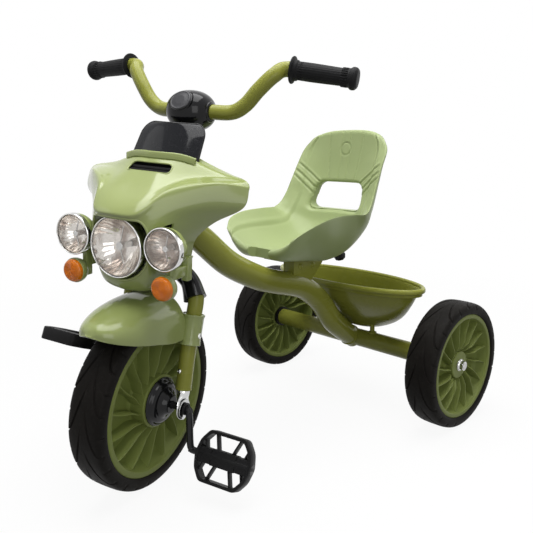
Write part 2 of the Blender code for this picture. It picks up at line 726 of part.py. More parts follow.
def make_pedal(finishes, spindle, name):
    """A flat cage pedal round its spindle, which runs along the cage's local X."""
    wide, long, thick = PEDAL_WIDTH / 2, PEDAL_LENGTH / 2, PEDAL_THICK / 2
    outer = [(-wide, 0.0), (-wide * 0.86, long * 0.62), (-wide * 0.62, long), (wide * 0.62, long),
             (wide * 0.86, long * 0.62), (wide, 0.0), (wide * 0.86, -long * 0.62), (wide * 0.62, -long),
             (-wide * 0.62, -long), (-wide * 0.86, -long * 0.62)]
    shrink_x, shrink_y = 1 - PEDAL_RIM / wide, 1 - PEDAL_RIM / long
    cage = place(name, prism_mesh(outer, 2, -thick, thick), finishes["black"], spindle)
    window = place(name + "_window", prism_mesh(
        [(x * shrink_x, y * shrink_y) for x, y in outer], 2, -2 * thick, 2 * thick), None, spindle)
    boolean(cage, window)
    sleeve = place(name + "_sleeve", turned_mesh([
        (-wide * 0.97, CRANK_RADIUS), (-wide * 0.97, PEDAL_SLEEVE_RADIUS),
        (wide * 0.97, PEDAL_SLEEVE_RADIUS), (wide * 0.97, CRANK_RADIUS),
    ], 16), None, spindle)
    boolean(cage, sleeve, "UNION")
    for side in (1, -1):
        for lean in (1, -1):
            low, high = PEDAL_SLEEVE_RADIUS - 0.0008, long - PEDAL_RIM + 0.002
            strut = place(f"{name}_strut_{side + 1}{lean + 1}", prism_mesh([
                (lean * 0.008, side * low), (lean * 0.012, side * low),
                (lean * 0.021, side * high), (lean * 0.017, side * high),
            ], 2, -thick * 0.6, thick * 0.6), None, spindle)
            boolean(cage, strut, "UNION")
    bore = place(name + "_bore", turned_mesh([
        (-2 * wide, 0), (-2 * wide, CRANK_RADIUS + RUN), (2 * wide, CRANK_RADIUS + RUN), (2 * wide, 0),
    ], 16), None, spindle)
    boolean(cage, bore)


def make_handlebar(finishes, ahead):
    low, high = on_axis(STEM_LOW), on_axis(KNUCKLE_HIGH - 0.012)
    bar = mirrored(bar_path())
    bore = STEERER_RADIUS + GAP
    place("stem_cover", swept_mesh([low, on_axis(KNUCKLE_HIGH - NECK_DEEP)], STEM_RADIUS, bore, 20),
          finishes["black"], ahead)
    place("handlebar", swept_mesh(bar, BAR_RADIUS, BAR_RADIUS - BAR_WALL, 12), finishes["olive"], ahead)

    bm = bmesh.new()
    bmesh.ops.create_uvsphere(bm, u_segments=18, v_segments=10, radius=1.0)
    bmesh.ops.scale(bm, vec=KNUCKLE_SIZE, verts=bm.verts)
    centre = on_axis(KNUCKLE_HIGH)
    knuckle = place("handlebar_cover", bm, finishes["gloss_black"], ahead, centre)
    bar_cut = place("handlebar_cover_bore", swept_mesh(bar, BAR_RADIUS + GAP, 0, 12), None, ahead)
    stem_cut = place("handlebar_cover_neck", swept_mesh([low, on_axis(KNUCKLE_HIGH - NECK_DEEP + GAP)],
                                                        STEM_RADIUS + GAP, 0, 20), None, ahead)
    core = swept_mesh([low, high], STEERER_RADIUS + GAP, 0, 20)
    steerer_cut = place("handlebar_cover_core", core, None, ahead)
    facing = Vector(BADGE_FACING).normalized()
    seat = centre + facing * BADGE_SEAT
    badge_cut = aim(place("handlebar_cover_face", turned_mesh(
        [(-GAP, 0), (-GAP, BADGE_RADIUS + GAP), (0.02, BADGE_RADIUS + GAP), (0.02, 0)], 20
    ), None, ahead, seat), facing)
    for cutter in (bar_cut, stem_cut, steerer_cut, badge_cut):
        boolean(knuckle, cutter)
    badge = place("handlebar_badge", turned_mesh([
        (0, 0), (0, BADGE_RADIUS), (0.0025, BADGE_RADIUS), (0.0035, BADGE_RADIUS - 0.001), (0.0035, 0),
    ], 20), finishes["satin"], ahead, seat)
    aim(badge, facing)

    length = GRIP_LENGTH
    inner = BAR_RADIUS + GAP
    profile = [
        (0.000, inner), (0.000, GRIP_FLANGE - 0.001), (0.003, GRIP_FLANGE), (0.010, GRIP_RADIUS + 0.0005),
        (length - 0.010, GRIP_RADIUS), (length - 0.007, GRIP_END_FLANGE), (length, GRIP_END_FLANGE),
        (length + GRIP_CAP, GRIP_END_FLANGE - 0.003), (length + GRIP_CAP, 0.0040), (length + GAP, 0.0040),
        (length + GAP, inner),
    ]
    start, way = grip_line()
    for side, word in ((1, "left"), (-1, "right")):
        mirror = Vector((side, 1, 1))
        grip = place("grip_" + word, turned_mesh(profile, 18), finishes["rubber"], ahead, start * mirror)
        aim(grip, way * mirror)


def fairing_rows():
    """Stations up the front of the fairing: four points each, from the middle plane out to the rear edge."""
    return [
        [(0.000, -0.0185, 0.168), (0.028, -0.0165, 0.170), (0.036, -0.0050, 0.174), (0.040, 0.0080, 0.180)],
        [(0.000, -0.0505, 0.175), (0.034, -0.0435, 0.178), (0.046, -0.0150, 0.186), (0.054, 0.0125, 0.195)],
        [(0.000, -0.0590, 0.205), (0.043, -0.0520, 0.205), (0.055, -0.0170, 0.210), (0.063, 0.0140, 0.215)],
        [(0.000, -0.0620, 0.235), (0.047, -0.0555, 0.235), (0.060, -0.0180, 0.237), (0.069, 0.0160, 0.238)],
        [(0.000, -0.0665, 0.262), (0.047, -0.0600, 0.260), (0.074, -0.0190, 0.262), (0.090, 0.0180, 0.262)],
        [(0.000, -0.0740, 0.276), (0.042, -0.0670, 0.277), (0.087, -0.0190, 0.279), (0.124, 0.0250, 0.276)],
        [(0.000, -0.0560, 0.289), (0.045, -0.0490, 0.294), (0.092, -0.0060, 0.300), (0.1325, 0.0390, 0.292)],
        [(0.000, -0.0270, 0.305), (0.045, -0.0230, 0.310), (0.092, 0.0110, 0.315), (0.1320, 0.0415, 0.308)],
        [(0.000, 0.0005, 0.322), (0.042, 0.0040, 0.323), (0.090, 0.0260, 0.322), (0.1265, 0.0440, 0.318)],
        [(0.000, 0.0250, 0.336), (0.045, 0.0290, 0.335), (0.083, 0.0400, 0.327), (0.115, 0.0500, 0.322)],
        [(0.000, 0.0500, 0.3420), (0.050, 0.0500, 0.338), (0.077, 0.0530, 0.330), (0.100, 0.0560, 0.323)],
    ]


def fairing_grid(inset=0.0, spread=0.0, rows=15, half_columns=7):
    """Points of the fairing's skin, or of a surface set in from it towards the steering axis."""
    stations = [np.array(row).reshape(-1) for row in fairing_rows()]
    grid = []
    for flat in spline_rows(stations, rows):
        half = spline_rows(flat.reshape(4, 3), half_columns)
        row = [np.array((-x, y, z)) for x, y, z in reversed(half[1:])] + [np.array(p) for p in half]
        grid.append(row)
    grid = np.array(grid)
    if spread:
        for _ in range(2):
            ends = []
            for edge, near in ((grid[0], grid[1]), (grid[-1], grid[-2])):
                away = edge - near
                ends.append(edge + spread * away / np.linalg.norm(away, axis=1, keepdims=True))
            grid = np.concatenate([ends[0][None], grid, ends[1][None]]).transpose(1, 0, 2)
    if inset:
        down = np.gradient(grid, axis=0)
        across = np.gradient(grid, axis=1)
        normal = np.cross(across, down)
        normal /= np.linalg.norm(normal, axis=2, keepdims=True)
        middle = np.array((0, 0.03, 0.24))
        inward = np.sign(np.sum(normal * (middle - grid), axis=2, keepdims=True))
        grid = grid + normal * inward * inset
    return [[front(*p) for p in row] for row in grid]


def make_fairing(finishes, ahead):
    skin = place("fairing", shell_mesh(fairing_grid(), fairing_grid(FAIRING_WALL)), finishes["sage"], ahead)
    lamp = front(0, -LAMP_FORWARD, LAMP_HIGH)
    wide = LAMP_RADIUS + LAMP_ROOM
    well = place("fairing_lamp_well", turned_mesh(
        [(-0.03, 0), (-0.03, wide), (0.055, wide), (0.055, 0)], 28), None, ahead, lamp)
    aim(well, (0, 1, 0))
    boolean(skin, well)
    for side, word in ((1, "left"), (-1, "right")):
        pocket = place("fairing_side_lamp_pocket_" + word, turned_mesh([
            (-0.02, 0), (-0.02, SIDE_LAMP_RADIUS + 0.0006), (0.0325, SIDE_LAMP_RADIUS + 0.0006), (0.0325, 0),
        ], 24), None, ahead, front(side * SIDE_LAMP_X, -LAMP_FORWARD + LAMP_ROOM, SIDE_LAMP_HIGH))
        aim(pocket, (0, 1, 0))
        boolean(skin, pocket)
    make_vent(finishes, ahead, skin)

    edge = fairing_grid()
    rows = range(2, len(edge), 2)
    border = [edge[r][-1] for r in rows]
    outside, inside = [], []
    for right in border:
        line, back = [], []
        for k in range(5):
            t = -1 + 2 * k / 4
            x = t * (right.x - LINER_MARGIN)
            y = right.y + GAP + LINER_CROWN * (1 - t * t)
            line.append(Vector((x, y, right.z)))
            back.append(Vector((x, y + LINER_THICK, right.z)))
        outside.append(line)
        inside.append(back)
    liner = place("fairing_liner", shell_mesh(outside, inside), finishes["black"], ahead)
    around = place("fairing_liner_cut", shell_mesh(
        fairing_grid(-0.0080, 0.008), fairing_grid(FAIRING_WALL + 2 * GAP, 0.008)), None, ahead)
    neck = place("fairing_liner_slot", box_mesh(*bracket_neck(GAP)), None, ahead, smooth=False)
    boolean(boolean(liner, around), neck)


def bracket_neck(extra=0.0):
    """Corners of the block that carries the headlamp through the fairing's liner."""
    back_of_lamp = HEADLAMP_DEEP - LAMP_FORWARD + GAP
    low = front(-0.0120 - extra, back_of_lamp - extra, 0.1960 - extra)
    return low, front(0.0120 + extra, 0.0330, 0.2320 + extra)


def make_vent(finishes, ahead, skin):
    """A black grille in a slot of the hood."""
    half, long = VENT_HALF
    tilt = Matrix.Rotation(VENT_TILT, 4, "X")

    def block(name, extra, low, high, finish):
        bm = box_mesh((-half - extra, -long - extra, low), (half + extra, long + extra, high))
        bm.transform(tilt)
        return place(name, bm, finish, ahead, front(*VENT_AT), smooth=False)

    boolean(skin, block("fairing_vent_slot", GAP, -0.012, 0.012, None))
    block("vent_grille", 0.0, -0.0022, 0.0012, finishes["black"])


def make_windscreen(finishes, ahead):
    """A short smoked screen standing on the fairing's top."""
    outside, inside = [], []
    for r in range(5):
        t = r / 4
        high = SCREEN_FOOT + (SCREEN_HEAD - SCREEN_FOOT) * t
        half = 0.0560 - 0.0060 * t - 0.0180 * max(0.0, t - 0.75) * 4 * (t - 0.5)
        for grid, thick in ((outside, 0.0), (inside, SCREEN_THICK)):
            row = []
            for c in range(11):
                s = -1 + c / 5
                y = 0.0210 + 0.0095 * s * s + (0.0345 - 0.001 * s * s) * t + thick
                row.append(front(s * half, y, high))
            grid.append(row)
    screen = place("windscreen", shell_mesh(outside, inside), finishes["smoke"], ahead)
    hood = [fairing_grid(-GAP)[-6:], fairing_grid(0.0140)[-6:]]
    boolean(screen, place("windscreen_foot_cut", shell_mesh(*hood), None, ahead))


def make_lamps(finishes, ahead):
    def cup(radius, depth):
        return [(depth * 0.75, 0.0), (depth * 0.75, radius * 0.45), (0.004, radius - 0.0035),
                (0.0, radius - 0.0030), (0.0, radius), (depth * 0.45, radius * 0.93), (depth, radius * 0.5),
                (depth, 0.0)]

    def lens(radius, bulge):
        return [(-GAP, 0.0), (-GAP, radius - 0.0004), (-0.0022, radius - 0.0010),
                (-0.0022 - bulge * 0.65, radius * 0.60), (-0.0022 - bulge, 0.0)]

    lamps = [("headlamp", 0.0, LAMP_HIGH, LAMP_RADIUS, HEADLAMP_DEEP, LAMP_BULGE, "chrome", "clear")]
    for side, word in ((1, "left"), (-1, "right")):
        lamps.append(("side_lamp_" + word, side * SIDE_LAMP_X, SIDE_LAMP_HIGH, SIDE_LAMP_RADIUS,
                      SIDE_LAMP_DEEP, SIDE_LAMP_BULGE, "sage", "clear"))
        lamps.append(("indicator_" + word, side * INDICATOR_X, INDICATOR_HIGH, INDICATOR_RADIUS,
                      INDICATOR_DEEP, INDICATOR_BULGE, "sage", "amber"))
    for name, x, high, radius, depth, bulge, body, glass in lamps:
        at = front(x, -LAMP_FORWARD, high)
        sides = 24 if radius > INDICATOR_RADIUS else 16
        solid = place(name + "_housing", turned_mesh(cup(radius, depth), sides), finishes[body], ahead, at)
        cover = place(name + "_lens", turned_mesh(lens(radius, bulge), sides), finishes[glass], ahead, at)
        aim(solid, (0, 1, 0))
        aim(cover, (0, 1, 0))
    make_lamp_bracket(finishes, ahead)


def make_lamp_bracket(finishes, ahead):
    """A crossbar behind the fairing with an arm forward to each pair of lamps."""
    bar = place("lamp_bracket", box_mesh(
        front(-ARM_X[1], BRACKET_BACK - BRACKET_THICK, 0.191), front(ARM_X[1], BRACKET_BACK, 0.211)),
        finishes["sage"], ahead, smooth=False)
    reach = -LAMP_FORWARD + SIDE_LAMP_DEEP + 2 * GAP
    for side, word in ((1, "left"), (-1, "right")):
        x = sorted(side * far for far in ARM_X)
        low = -LAMP_FORWARD + INDICATOR_DEEP + 2 * GAP
        arm = place("lamp_arm_" + word, box_mesh(
            front(x[0], reach, 0.193), front(x[1], 0.0340, 0.209)), None, ahead)
        post = place("lamp_post_" + word, box_mesh(
            front(x[0] + 0.0002, reach + 0.0001, 0.1895),
            front(x[1] - 0.0002, reach + 0.012, SIDE_LAMP_HIGH)), None, ahead)
        foot = place("lamp_foot_" + word, box_mesh(
            front(x[0] + 0.0006, low, 0.1835), front(x[1] - 0.0006, reach + 0.008, 0.1955)), None, ahead)
        for piece in (arm, post, foot):
            boolean(bar, piece, "UNION")
    neck = place("lamp_neck", box_mesh(*bracket_neck()), None, ahead)
    boolean(bar, neck, "UNION")
    tongue = place("lamp_tongue", box_mesh(
        front(-0.008, 0.0340, 0.1925), front(0.008, 0.0560, 0.2000)), None, ahead)
    boolean(bar, tongue, "UNION")
    cover_room = place("lamp_bracket_crown_room", swept_mesh(
        mirrored(fork_path()[:5]), CROWN_COVER_RADIUS + GAP, 0, 14), None, ahead)
    boolean(bar, cover_room)


def seat_rows():
    """Stations from the seat's front to the top of its back, from the rear axle: the middle of the upper
    face, the middle of the underside, and the lip."""
    plane_at = (SEAT_Y - 0.102, SEAT_Y - RAIL_AHEAD, SEAT_Y - 0.030, SEAT_Y + RAIL_BEHIND)
    plane = [(dy, seat_plane(dy)) for dy in plane_at]
    upper = [(-0.256, 0.208), (-0.225, 0.203), (-0.180, 0.198), (-0.135, 0.197), (-0.098, 0.206),
             (-0.075, 0.228), (-0.064, 0.255), (-0.052, 0.281), (-0.045, 0.305), (-0.038, 0.331),
             (-0.031, 0.366), (-0.026, 0.394)]
    under = plane + [(-0.090, 0.188), (-0.058, 0.219), (-0.047, 0.251), (-0.037, 0.279), (-0.030, 0.304),
                     (-0.023, 0.331), (-0.018, 0.366), (-0.016, 0.391)]
    lip = [(0.083, -0.260, 0.224), (0.093, -0.236, 0.245), (0.095, -0.200, 0.257), (0.092, -0.160, 0.261),
           (0.096, -0.128, 0.260), (0.104, -0.113, 0.260), (0.102, -0.099, 0.268), (0.098, -0.086, 0.286),
           (0.096, -0.076, 0.305), (0.090, -0.060, 0.336), (0.080, -0.041, 0.368), (0.050, -0.029, 0.394)]
    return [(*a, *b, *c) for a, b, c in zip(upper, under, lip)]


def make_seat(finishes):
    slide = empty("seat_slide")
    upper, under = [], []
    for uy, uz, by, bz, lx, ly, lz in spline_rows(seat_rows(), 20):
        top, low = [], []
        for c in range(15):
            s = -1 + c / 7
            side = abs(s) ** 2.6
            top.append(rear(s * lx, uy + (ly - uy) * side, uz + (lz - uz) * side))
            flat = max(0.0, (abs(s) - 0.40) / 0.60)
            rise = flat ** 2.2
            back = by + (ly + 0.007 - by) * rise
            low.append(rear(s * (lx + 0.004), back, bz + (lz - 0.003 - bz) * rise))
        upper.append(top)
        under.append(low)
    seat = place("seat", shell_mesh(upper, under), finishes["pale_sage"], slide)
    bm = prism_mesh([(-0.060, 0.256), (0.060, 0.256), (0.048, 0.304), (-0.048, 0.304)], 1, -0.2, 0.1)
    bmesh.ops.translate(bm, vec=rear(0, 0, 0), verts=bm.verts)
    edges = [e for e in bm.edges if abs(e.verts[0].co.y - e.verts[1].co.y) > 0.1]
    bmesh.ops.bevel(bm, geom=edges, offset=0.010, segments=3, affect="EDGES", profile=0.5)
    boolean(seat, place("seat_window", bm, None, slide))
    notch = box_mesh(rear(-0.021, -0.300, 0.150), rear(0.021, -0.243, 0.240))
    boolean(seat, place("seat_notch", notch, None, slide))

    front_y, back_y = SEAT_Y - RAIL_AHEAD, SEAT_Y + RAIL_BEHIND

    def strip(top, low, extend, name, finish, half):
        ahead, behind = front_y - extend, back_y + extend
        corners = ((ahead, top), (behind, top), (behind, low), (ahead, low))
        outline = [(REAR_AXLE_Y + dy, REAR_RADIUS + seat_plane(dy) + up) for dy, up in corners]
        return place(name, prism_mesh(outline, 0, -half, half), finish, slide, smooth=False)

    pocket = strip(SEAT_PAD_DEEP, -0.030, GAP, "seat_pocket", None, SEAT_RAIL_HALF_WIDTH + GAP)
    boolean(seat, pocket)
    top = SEAT_PAD_DEEP - GAP
    rail = strip(top, top - SEAT_RAIL_THICK, 0.0, "seat_rail", finishes["black_steel"], SEAT_RAIL_HALF_WIDTH)
    level = seat_plane(SEAT_Y)
    knob_at = rear(0, SEAT_Y + KNOB_BEHIND, level - KNOB_DROP)
    stud = place("seat_rail_stud", swept_mesh([
        rear(0, back_y - 0.004, seat_plane(back_y - 0.004) - 0.0021),
        rear(0, SEAT_Y + 0.040, level - 0.007),
        rear(0, SEAT_Y + 0.060, level - KNOB_DROP), knob_at + Vector((0, 0.004, 0)),
    ], STUD_RADIUS, 0, 8), None, slide)
    boolean(rail, stud, "UNION")
    bore = STUD_RADIUS + GAP
    knob = place("seat_knob", turned_mesh([
        (0.0, KNOB_RADIUS - 0.0015), (0.002, KNOB_RADIUS), (KNOB_LONG - 0.003, KNOB_RADIUS),
        (KNOB_LONG, KNOB_RADIUS - 0.002), (KNOB_LONG, bore), (0.0, bore)], 20),
        finishes["black"], slide, knob_at + Vector((0, -0.008, 0)))
    aim(knob, (0, 1, 0))


def make_seat_bracket(finishes):
    """Folded sheet saddle on the main tube, with the flat that the seat's rail slides on."""
    front_y, back_y = SEAT_Y - 0.112, SEAT_Y + 0.024
    level = SEAT_RAIL_THICK - SEAT_PAD_DEEP + 2 * GAP
    outline = [
        (front_y, seat_plane(front_y) - level), (back_y, seat_plane(back_y) - level),
        (back_y, seat_plane(back_y) - level - 0.004), (SEAT_Y + 0.002, seat_plane(SEAT_Y) - 0.055),
        (front_y + 0.010, seat_plane(front_y) - 0.052), (front_y, seat_plane(front_y) - 0.030),
    ]
    outline = [(REAR_AXLE_Y + dy, REAR_RADIUS + dz) for dy, dz in outline]
    shape = prism_mesh(outline, 0, -SADDLE_HALF, SADDLE_HALF)
    saddle = place("seat_bracket", shape, finishes["olive"], smooth=False)
    room = place("seat_bracket_tube_room", swept_mesh(main_tube_path(), MAIN_TUBE_RADIUS + GAP, 0, 16))
    boolean(saddle, room)


def make_basket(finishes):
    """Oval bowl with a rolled rim, standing on two posts from the cross tube."""
    bm = bmesh.new()
    around, lip, roll = BASKET_SIDES, BASKET_LIP, BASKET_ROLL
    floor = BASKET_HIGH - BASKET_DEEP
    outside = [(t, floor + BASKET_DEEP * h, 0.0, back) for t, h, back in BASKET_SHAPE[:-1]]
    outside += [(1.0, BASKET_HIGH - roll, 0.0, 0.0), (1.0, BASKET_HIGH - roll, lip, 0.0),
                (1.0, BASKET_HIGH - 0.001, lip, 0.0), (1.0, BASKET_HIGH, lip - 0.002, 0.0)]
    inside = [(t, floor + BASKET_WALL + (BASKET_DEEP - BASKET_WALL) * h, -BASKET_WALL, back)
              for t, h, back in reversed(BASKET_SHAPE)]
    rings = []
    for scale, high, grow, back in outside + inside:
        ring = []
        for k in range(around):
            angle = 2 * math.pi * k / around
            along, across = math.cos(angle), math.sin(angle)
            x = (BASKET_HALF_WIDTH - lip) * scale * along
            y = (BASKET_HALF_LENGTH - lip) * scale * across
            if scale > 0.3:
                out = Vector((along / BASKET_HALF_WIDTH, across / BASKET_HALF_LENGTH)).normalized()
                x, y = x + out.x * grow, y + out.y * grow
            ring.append(bm.verts.new(rear(x, BASKET_Y + back + y, high)))
        rings.append(ring)
    for a, b in zip(rings, rings[1:]):
        for k in range(around):
            bm.faces.new((a[k], a[(k + 1) % around], b[(k + 1) % around], b[k]))
    bmesh.ops.remove_doubles(bm, verts=bm.verts, dist=1e-6)
    place("basket", bm, finishes["olive"])
    for side, word in ((1, "left"), (-1, "right")):
        ends = [rear(side * POST_X, 0, CROSS_TUBE_RADIUS - 0.006), rear(side * POST_X, 0, 0.060)]
        post = place("basket_post_" + word, swept_mesh(ends, POST_RADIUS, 0, 12), finishes["olive"])
        under = place("basket_post_cut_" + word, turned_mesh(
            [(-0.02, 0), (-0.02, CROSS_TUBE_RADIUS + GAP), (0.02, CROSS_TUBE_RADIUS + GAP), (0.02, 0)], 28
        ), None, None, rear(side * POST_X, 0, 0))
        boolean(post, under)
        bowl = place("basket_post_top_" + word, basket_room(), None)
        boolean(post, bowl)


def basket_room():
    """The bowl's outer form, grown by the gap, as a solid that trims the posts."""
    bm = bmesh.new()
    rings = []
    for t, h, back in [(0.02, 0.0, BASKET_SHAPE[0][2])] + BASKET_SHAPE[1:5]:
        ring = []
        for k in range(BASKET_SIDES):
            angle = 2 * math.pi * k / BASKET_SIDES
            high = BASKET_HIGH - BASKET_DEEP + BASKET_DEEP * h - GAP
            x = (BASKET_HALF_WIDTH - BASKET_LIP) * t * math.cos(angle)
            y = (BASKET_HALF_LENGTH - BASKET_LIP) * t * math.sin(angle)
            ring.append(bm.verts.new(rear(x, BASKET_Y + back + y, high)))
        rings.append(ring)
    for a, b in zip(rings, rings[1:]):
        for k in range(BASKET_SIDES):
            bm.faces.new((a[k], a[(k + 1) % BASKET_SIDES], b[(k + 1) % BASKET_SIDES], b[k]))
    bm.faces.new(rings[0])
    bm.faces.new(rings[-1])
    return bm


def make_finishes():
    return {
        "olive": material("olive_enamel", OLIVE, 0.35),
        "sage": material("sage_gloss_plastic", SAGE, 0.18),
        "pale_sage": material("pale_sage_satin_plastic", PALE_SAGE, 0.45),
        "rim": material("rim_plastic", RIM_GREEN, 0.40),
        "black": material("black_plastic", BLACK, 0.45),
        "gloss_black": material("gloss_black_plastic", BLACK, 0.15),
        "black_steel": material("black_oxide_steel", BLACK, 0.35, 0.8),
        "steel": material("zinc_steel", CHROME, 0.35, 1.0),
        "rubber": material("grip_rubber", BLACK, 0.70),
        "tyre": material("foam_tyre", TYRE_BLACK, 0.60),
        "chrome": material("chrome", CHROME, 0.08, 1.0),
        "satin": material("satin_badge", (0.35, 0.35, 0.36), 0.35, 0.6),
        "amber": material("amber_lens", AMBER, 0.12),
        "clear": material("clear_lens", CLEAR, 0.05),
        "smoke": material("smoked_screen", SMOKE, 0.10),
    }


def main():
    clear_scene()
    finishes = make_finishes()
    make_frame(finishes)
    make_rear_axle(finishes)
    make_seat(finishes)
    make_seat_bracket(finishes)
    make_basket(finishes)
    ahead = make_steering()
    make_fork(finishes, ahead)
    make_fender(finishes, ahead)
    make_front_wheel(finishes, ahead)
    make_handlebar(finishes, ahead)
    make_fairing(finishes, ahead)
    make_windscreen(finishes, ahead)
    make_lamps(finishes, ahead)
    bpy.context.view_layer.update()


main()
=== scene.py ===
import math

import bmesh
import bpy
import numpy as np
from mathutils import Matrix, Vector
from mathutils.bvhtree import BVHTree


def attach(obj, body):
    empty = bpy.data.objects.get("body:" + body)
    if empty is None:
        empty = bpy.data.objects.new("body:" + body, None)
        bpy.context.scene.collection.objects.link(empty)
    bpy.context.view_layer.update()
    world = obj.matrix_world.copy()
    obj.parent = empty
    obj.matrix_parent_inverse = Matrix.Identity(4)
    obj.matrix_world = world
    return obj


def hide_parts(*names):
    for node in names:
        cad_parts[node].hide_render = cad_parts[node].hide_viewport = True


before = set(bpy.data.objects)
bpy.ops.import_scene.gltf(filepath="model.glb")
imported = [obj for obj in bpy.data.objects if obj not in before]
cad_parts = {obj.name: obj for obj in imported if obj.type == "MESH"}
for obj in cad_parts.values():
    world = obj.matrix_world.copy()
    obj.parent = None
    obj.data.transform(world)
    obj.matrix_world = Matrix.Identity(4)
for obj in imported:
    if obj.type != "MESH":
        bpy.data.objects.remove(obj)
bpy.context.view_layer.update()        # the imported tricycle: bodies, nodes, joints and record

print("frame loaded:", len(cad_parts), "nodes")


# shader maths
class Value:  # a node's socket, whose arithmetic adds Math nodes
    def __init__(self, paint, socket):
        self.paint, self.socket = paint, socket

    def math(self, operation, a, b):
        return self.paint.node("Math", {"operation": operation}, {0: a, 1: b})

    def __add__(self, other):
        return self.math("ADD", self, other)

    def __radd__(self, other):
        return self.math("ADD", other, self)

    def __sub__(self, other):
        return self.math("SUBTRACT", self, other)

    def __rsub__(self, other):
        return self.math("SUBTRACT", other, self)

    def __mul__(self, other):
        return self.math("MULTIPLY", self, other)

    def __rmul__(self, other):
        return self.math("MULTIPLY", other, self)

    def ramp(self, low, high, start=0.0, end=1.0):  # smooth step from low to high
        sockets = {"Value": self, "From Min": low, "From Max": high, "To Min": start, "To Max": end}
        return self.paint.node("MapRange", {"interpolation_type": "SMOOTHSTEP"}, sockets)


class Nodes:  # a node tree, and the one way that nodes are added to it
    def __init__(self, owner):
        owner.use_nodes = True
        self.tree = owner.node_tree

    def node(self, kind, settings=None, sockets=None, output=0):
        made = self.tree.nodes.new("ShaderNode" + kind)
        for key, value in (settings or {}).items():
            setattr(made, key, value)
        for key, value in (sockets or {}).items():
            self.feed(made.inputs[key], value)
        return Value(self, made.outputs[output])

    def feed(self, socket, value):
        if isinstance(value, Value):
            self.tree.links.new(value.socket, socket)
        elif socket.type == "RGBA" and len(value) == 3:
            socket.default_value = (*value, 1.0)
        else:
            socket.default_value = value

    def whiteRays(self):  # one for the camera's rays, mirrored ones and those through glass
        camera, glossy, through = (self.node("LightPath", output=f"Is {kind} Ray")
                                   for kind in ("Camera", "Glossy", "Transmission"))
        return camera.math("MAXIMUM", camera.math("MAXIMUM", camera, glossy), through)


class Paint(Nodes):  # one material and the nodes that feed its shader
    def __init__(self, name, **constants):
        self.material = bpy.data.materials.new(name)
        super().__init__(self.material)
        self.shader = self.tree.nodes["Principled BSDF"]
        self.place = self.node("TexCoord", output="Object")
        self.lumps = None
        for key, value in constants.items():
            self.set(key, value)

    def set(self, key, value):  # key is the shader socket's name in camelCase
        words = "".join(" " + letter if letter.isupper() else letter for letter in key).split()
        plain = " ".join(word[0].upper() + word[1:] for word in words).replace("Ior", "IOR")
        self.feed(self.shader.inputs[plain], value)

    def noise(self, scale, detail=3.0, stretch=None):
        where = self.place
        if stretch:
            where = self.node("Mapping", None, {"Vector": where, "Scale": stretch})
        return self.node("TexNoise", None, {"Vector": where, "Scale": scale, "Detail": detail})

    def blend(self, factor, first, second):
        return self.node("Mix", {"data_type": "RGBA"}, {0: factor, 6: first, 7: second}, 2)

    def bump(self, height, depth, strength=1.0):
        sockets = {"Height": height, "Distance": depth, "Strength": strength}
        if self.lumps:
            sockets["Normal"] = self.lumps
        self.lumps = self.node("Bump", None, sockets)
        self.set("normal", self.lumps)


# finishes: colour, faded shade, roughness and its wander, depth and scale of the grain, coat, IOR, metallic
finishTable = {
    "olive_enamel": ((0.270, 0.282, 0.048), (0.246, 0.256, 0.041), 0.26, 0.04, 0.00002, 240, 0.25, 1.22),
    "sage_gloss": ((0.300, 0.352, 0.122), (0.276, 0.328, 0.111), 0.15, 0.03, 0.00002, 110, 0.30, 1.36),
    "sage_satin": ((0.345, 0.412, 0.190), (0.318, 0.385, 0.172), 0.42, 0.05, 0.00005, 900, 0.10, 1.34),
    "rim_green": ((0.205, 0.245, 0.066), (0.180, 0.218, 0.056), 0.40, 0.06, 0.00005, 700, 0.0, 1.22),
    "black_plastic": ((0.0085, 0.0082, 0.0085), (0.013, 0.013, 0.0135), 0.42, 0.08, 0.00007, 1100, 0.0, 1.20),
    "gloss_black": ((0.0060, 0.0060, 0.0070), (0.009, 0.009, 0.010), 0.12, 0.05, 0.00002, 110, 0.0, 1.30),
    "black_steel": ((0.010, 0.010, 0.011), (0.022, 0.022, 0.023), 0.24, 0.08, 0.00004, 500, 0.1, 1.28),
    "zinc_steel": ((0.50, 0.50, 0.49), (0.40, 0.39, 0.37), 0.34, 0.12, 0.00004, 900, 0.0, 1.45, 1.0),
    "chrome": ((0.62, 0.62, 0.61), (0.52, 0.52, 0.52), 0.10, 0.06, 0.00002, 300, 0.0, 1.45, 1.0),
    "satin_badge": ((0.030, 0.030, 0.033), (0.045, 0.045, 0.050), 0.30, 0.06, 0.00003, 900, 0.1, 1.30),
    "grip_rubber": ((0.0085, 0.0085, 0.009), (0.014, 0.014, 0.0145), 0.55, 0.10, 0.00008, 1400, 0.0, 1.20),
}
lensTable = {  # colour, alpha, roughness, depth of the ripples, coat, IOR
    "clear_lens": ((0.66, 0.63, 0.60), 0.12, 0.03, 0.0001, 1.0, 1.45),
    "amber_lens": ((0.80, 0.205, 0.008), 0.96, 0.10, 0.0001, 0.2, 1.30),
    "smoked_screen": ((0.006, 0.0065, 0.009), 0.97, 0.08, 0.00003, 0.1, 1.27),
}


marks = dict(cloud=7.0, speck=150.0, smear=30.0, brush=420.0)  # scales of what varies over a finish


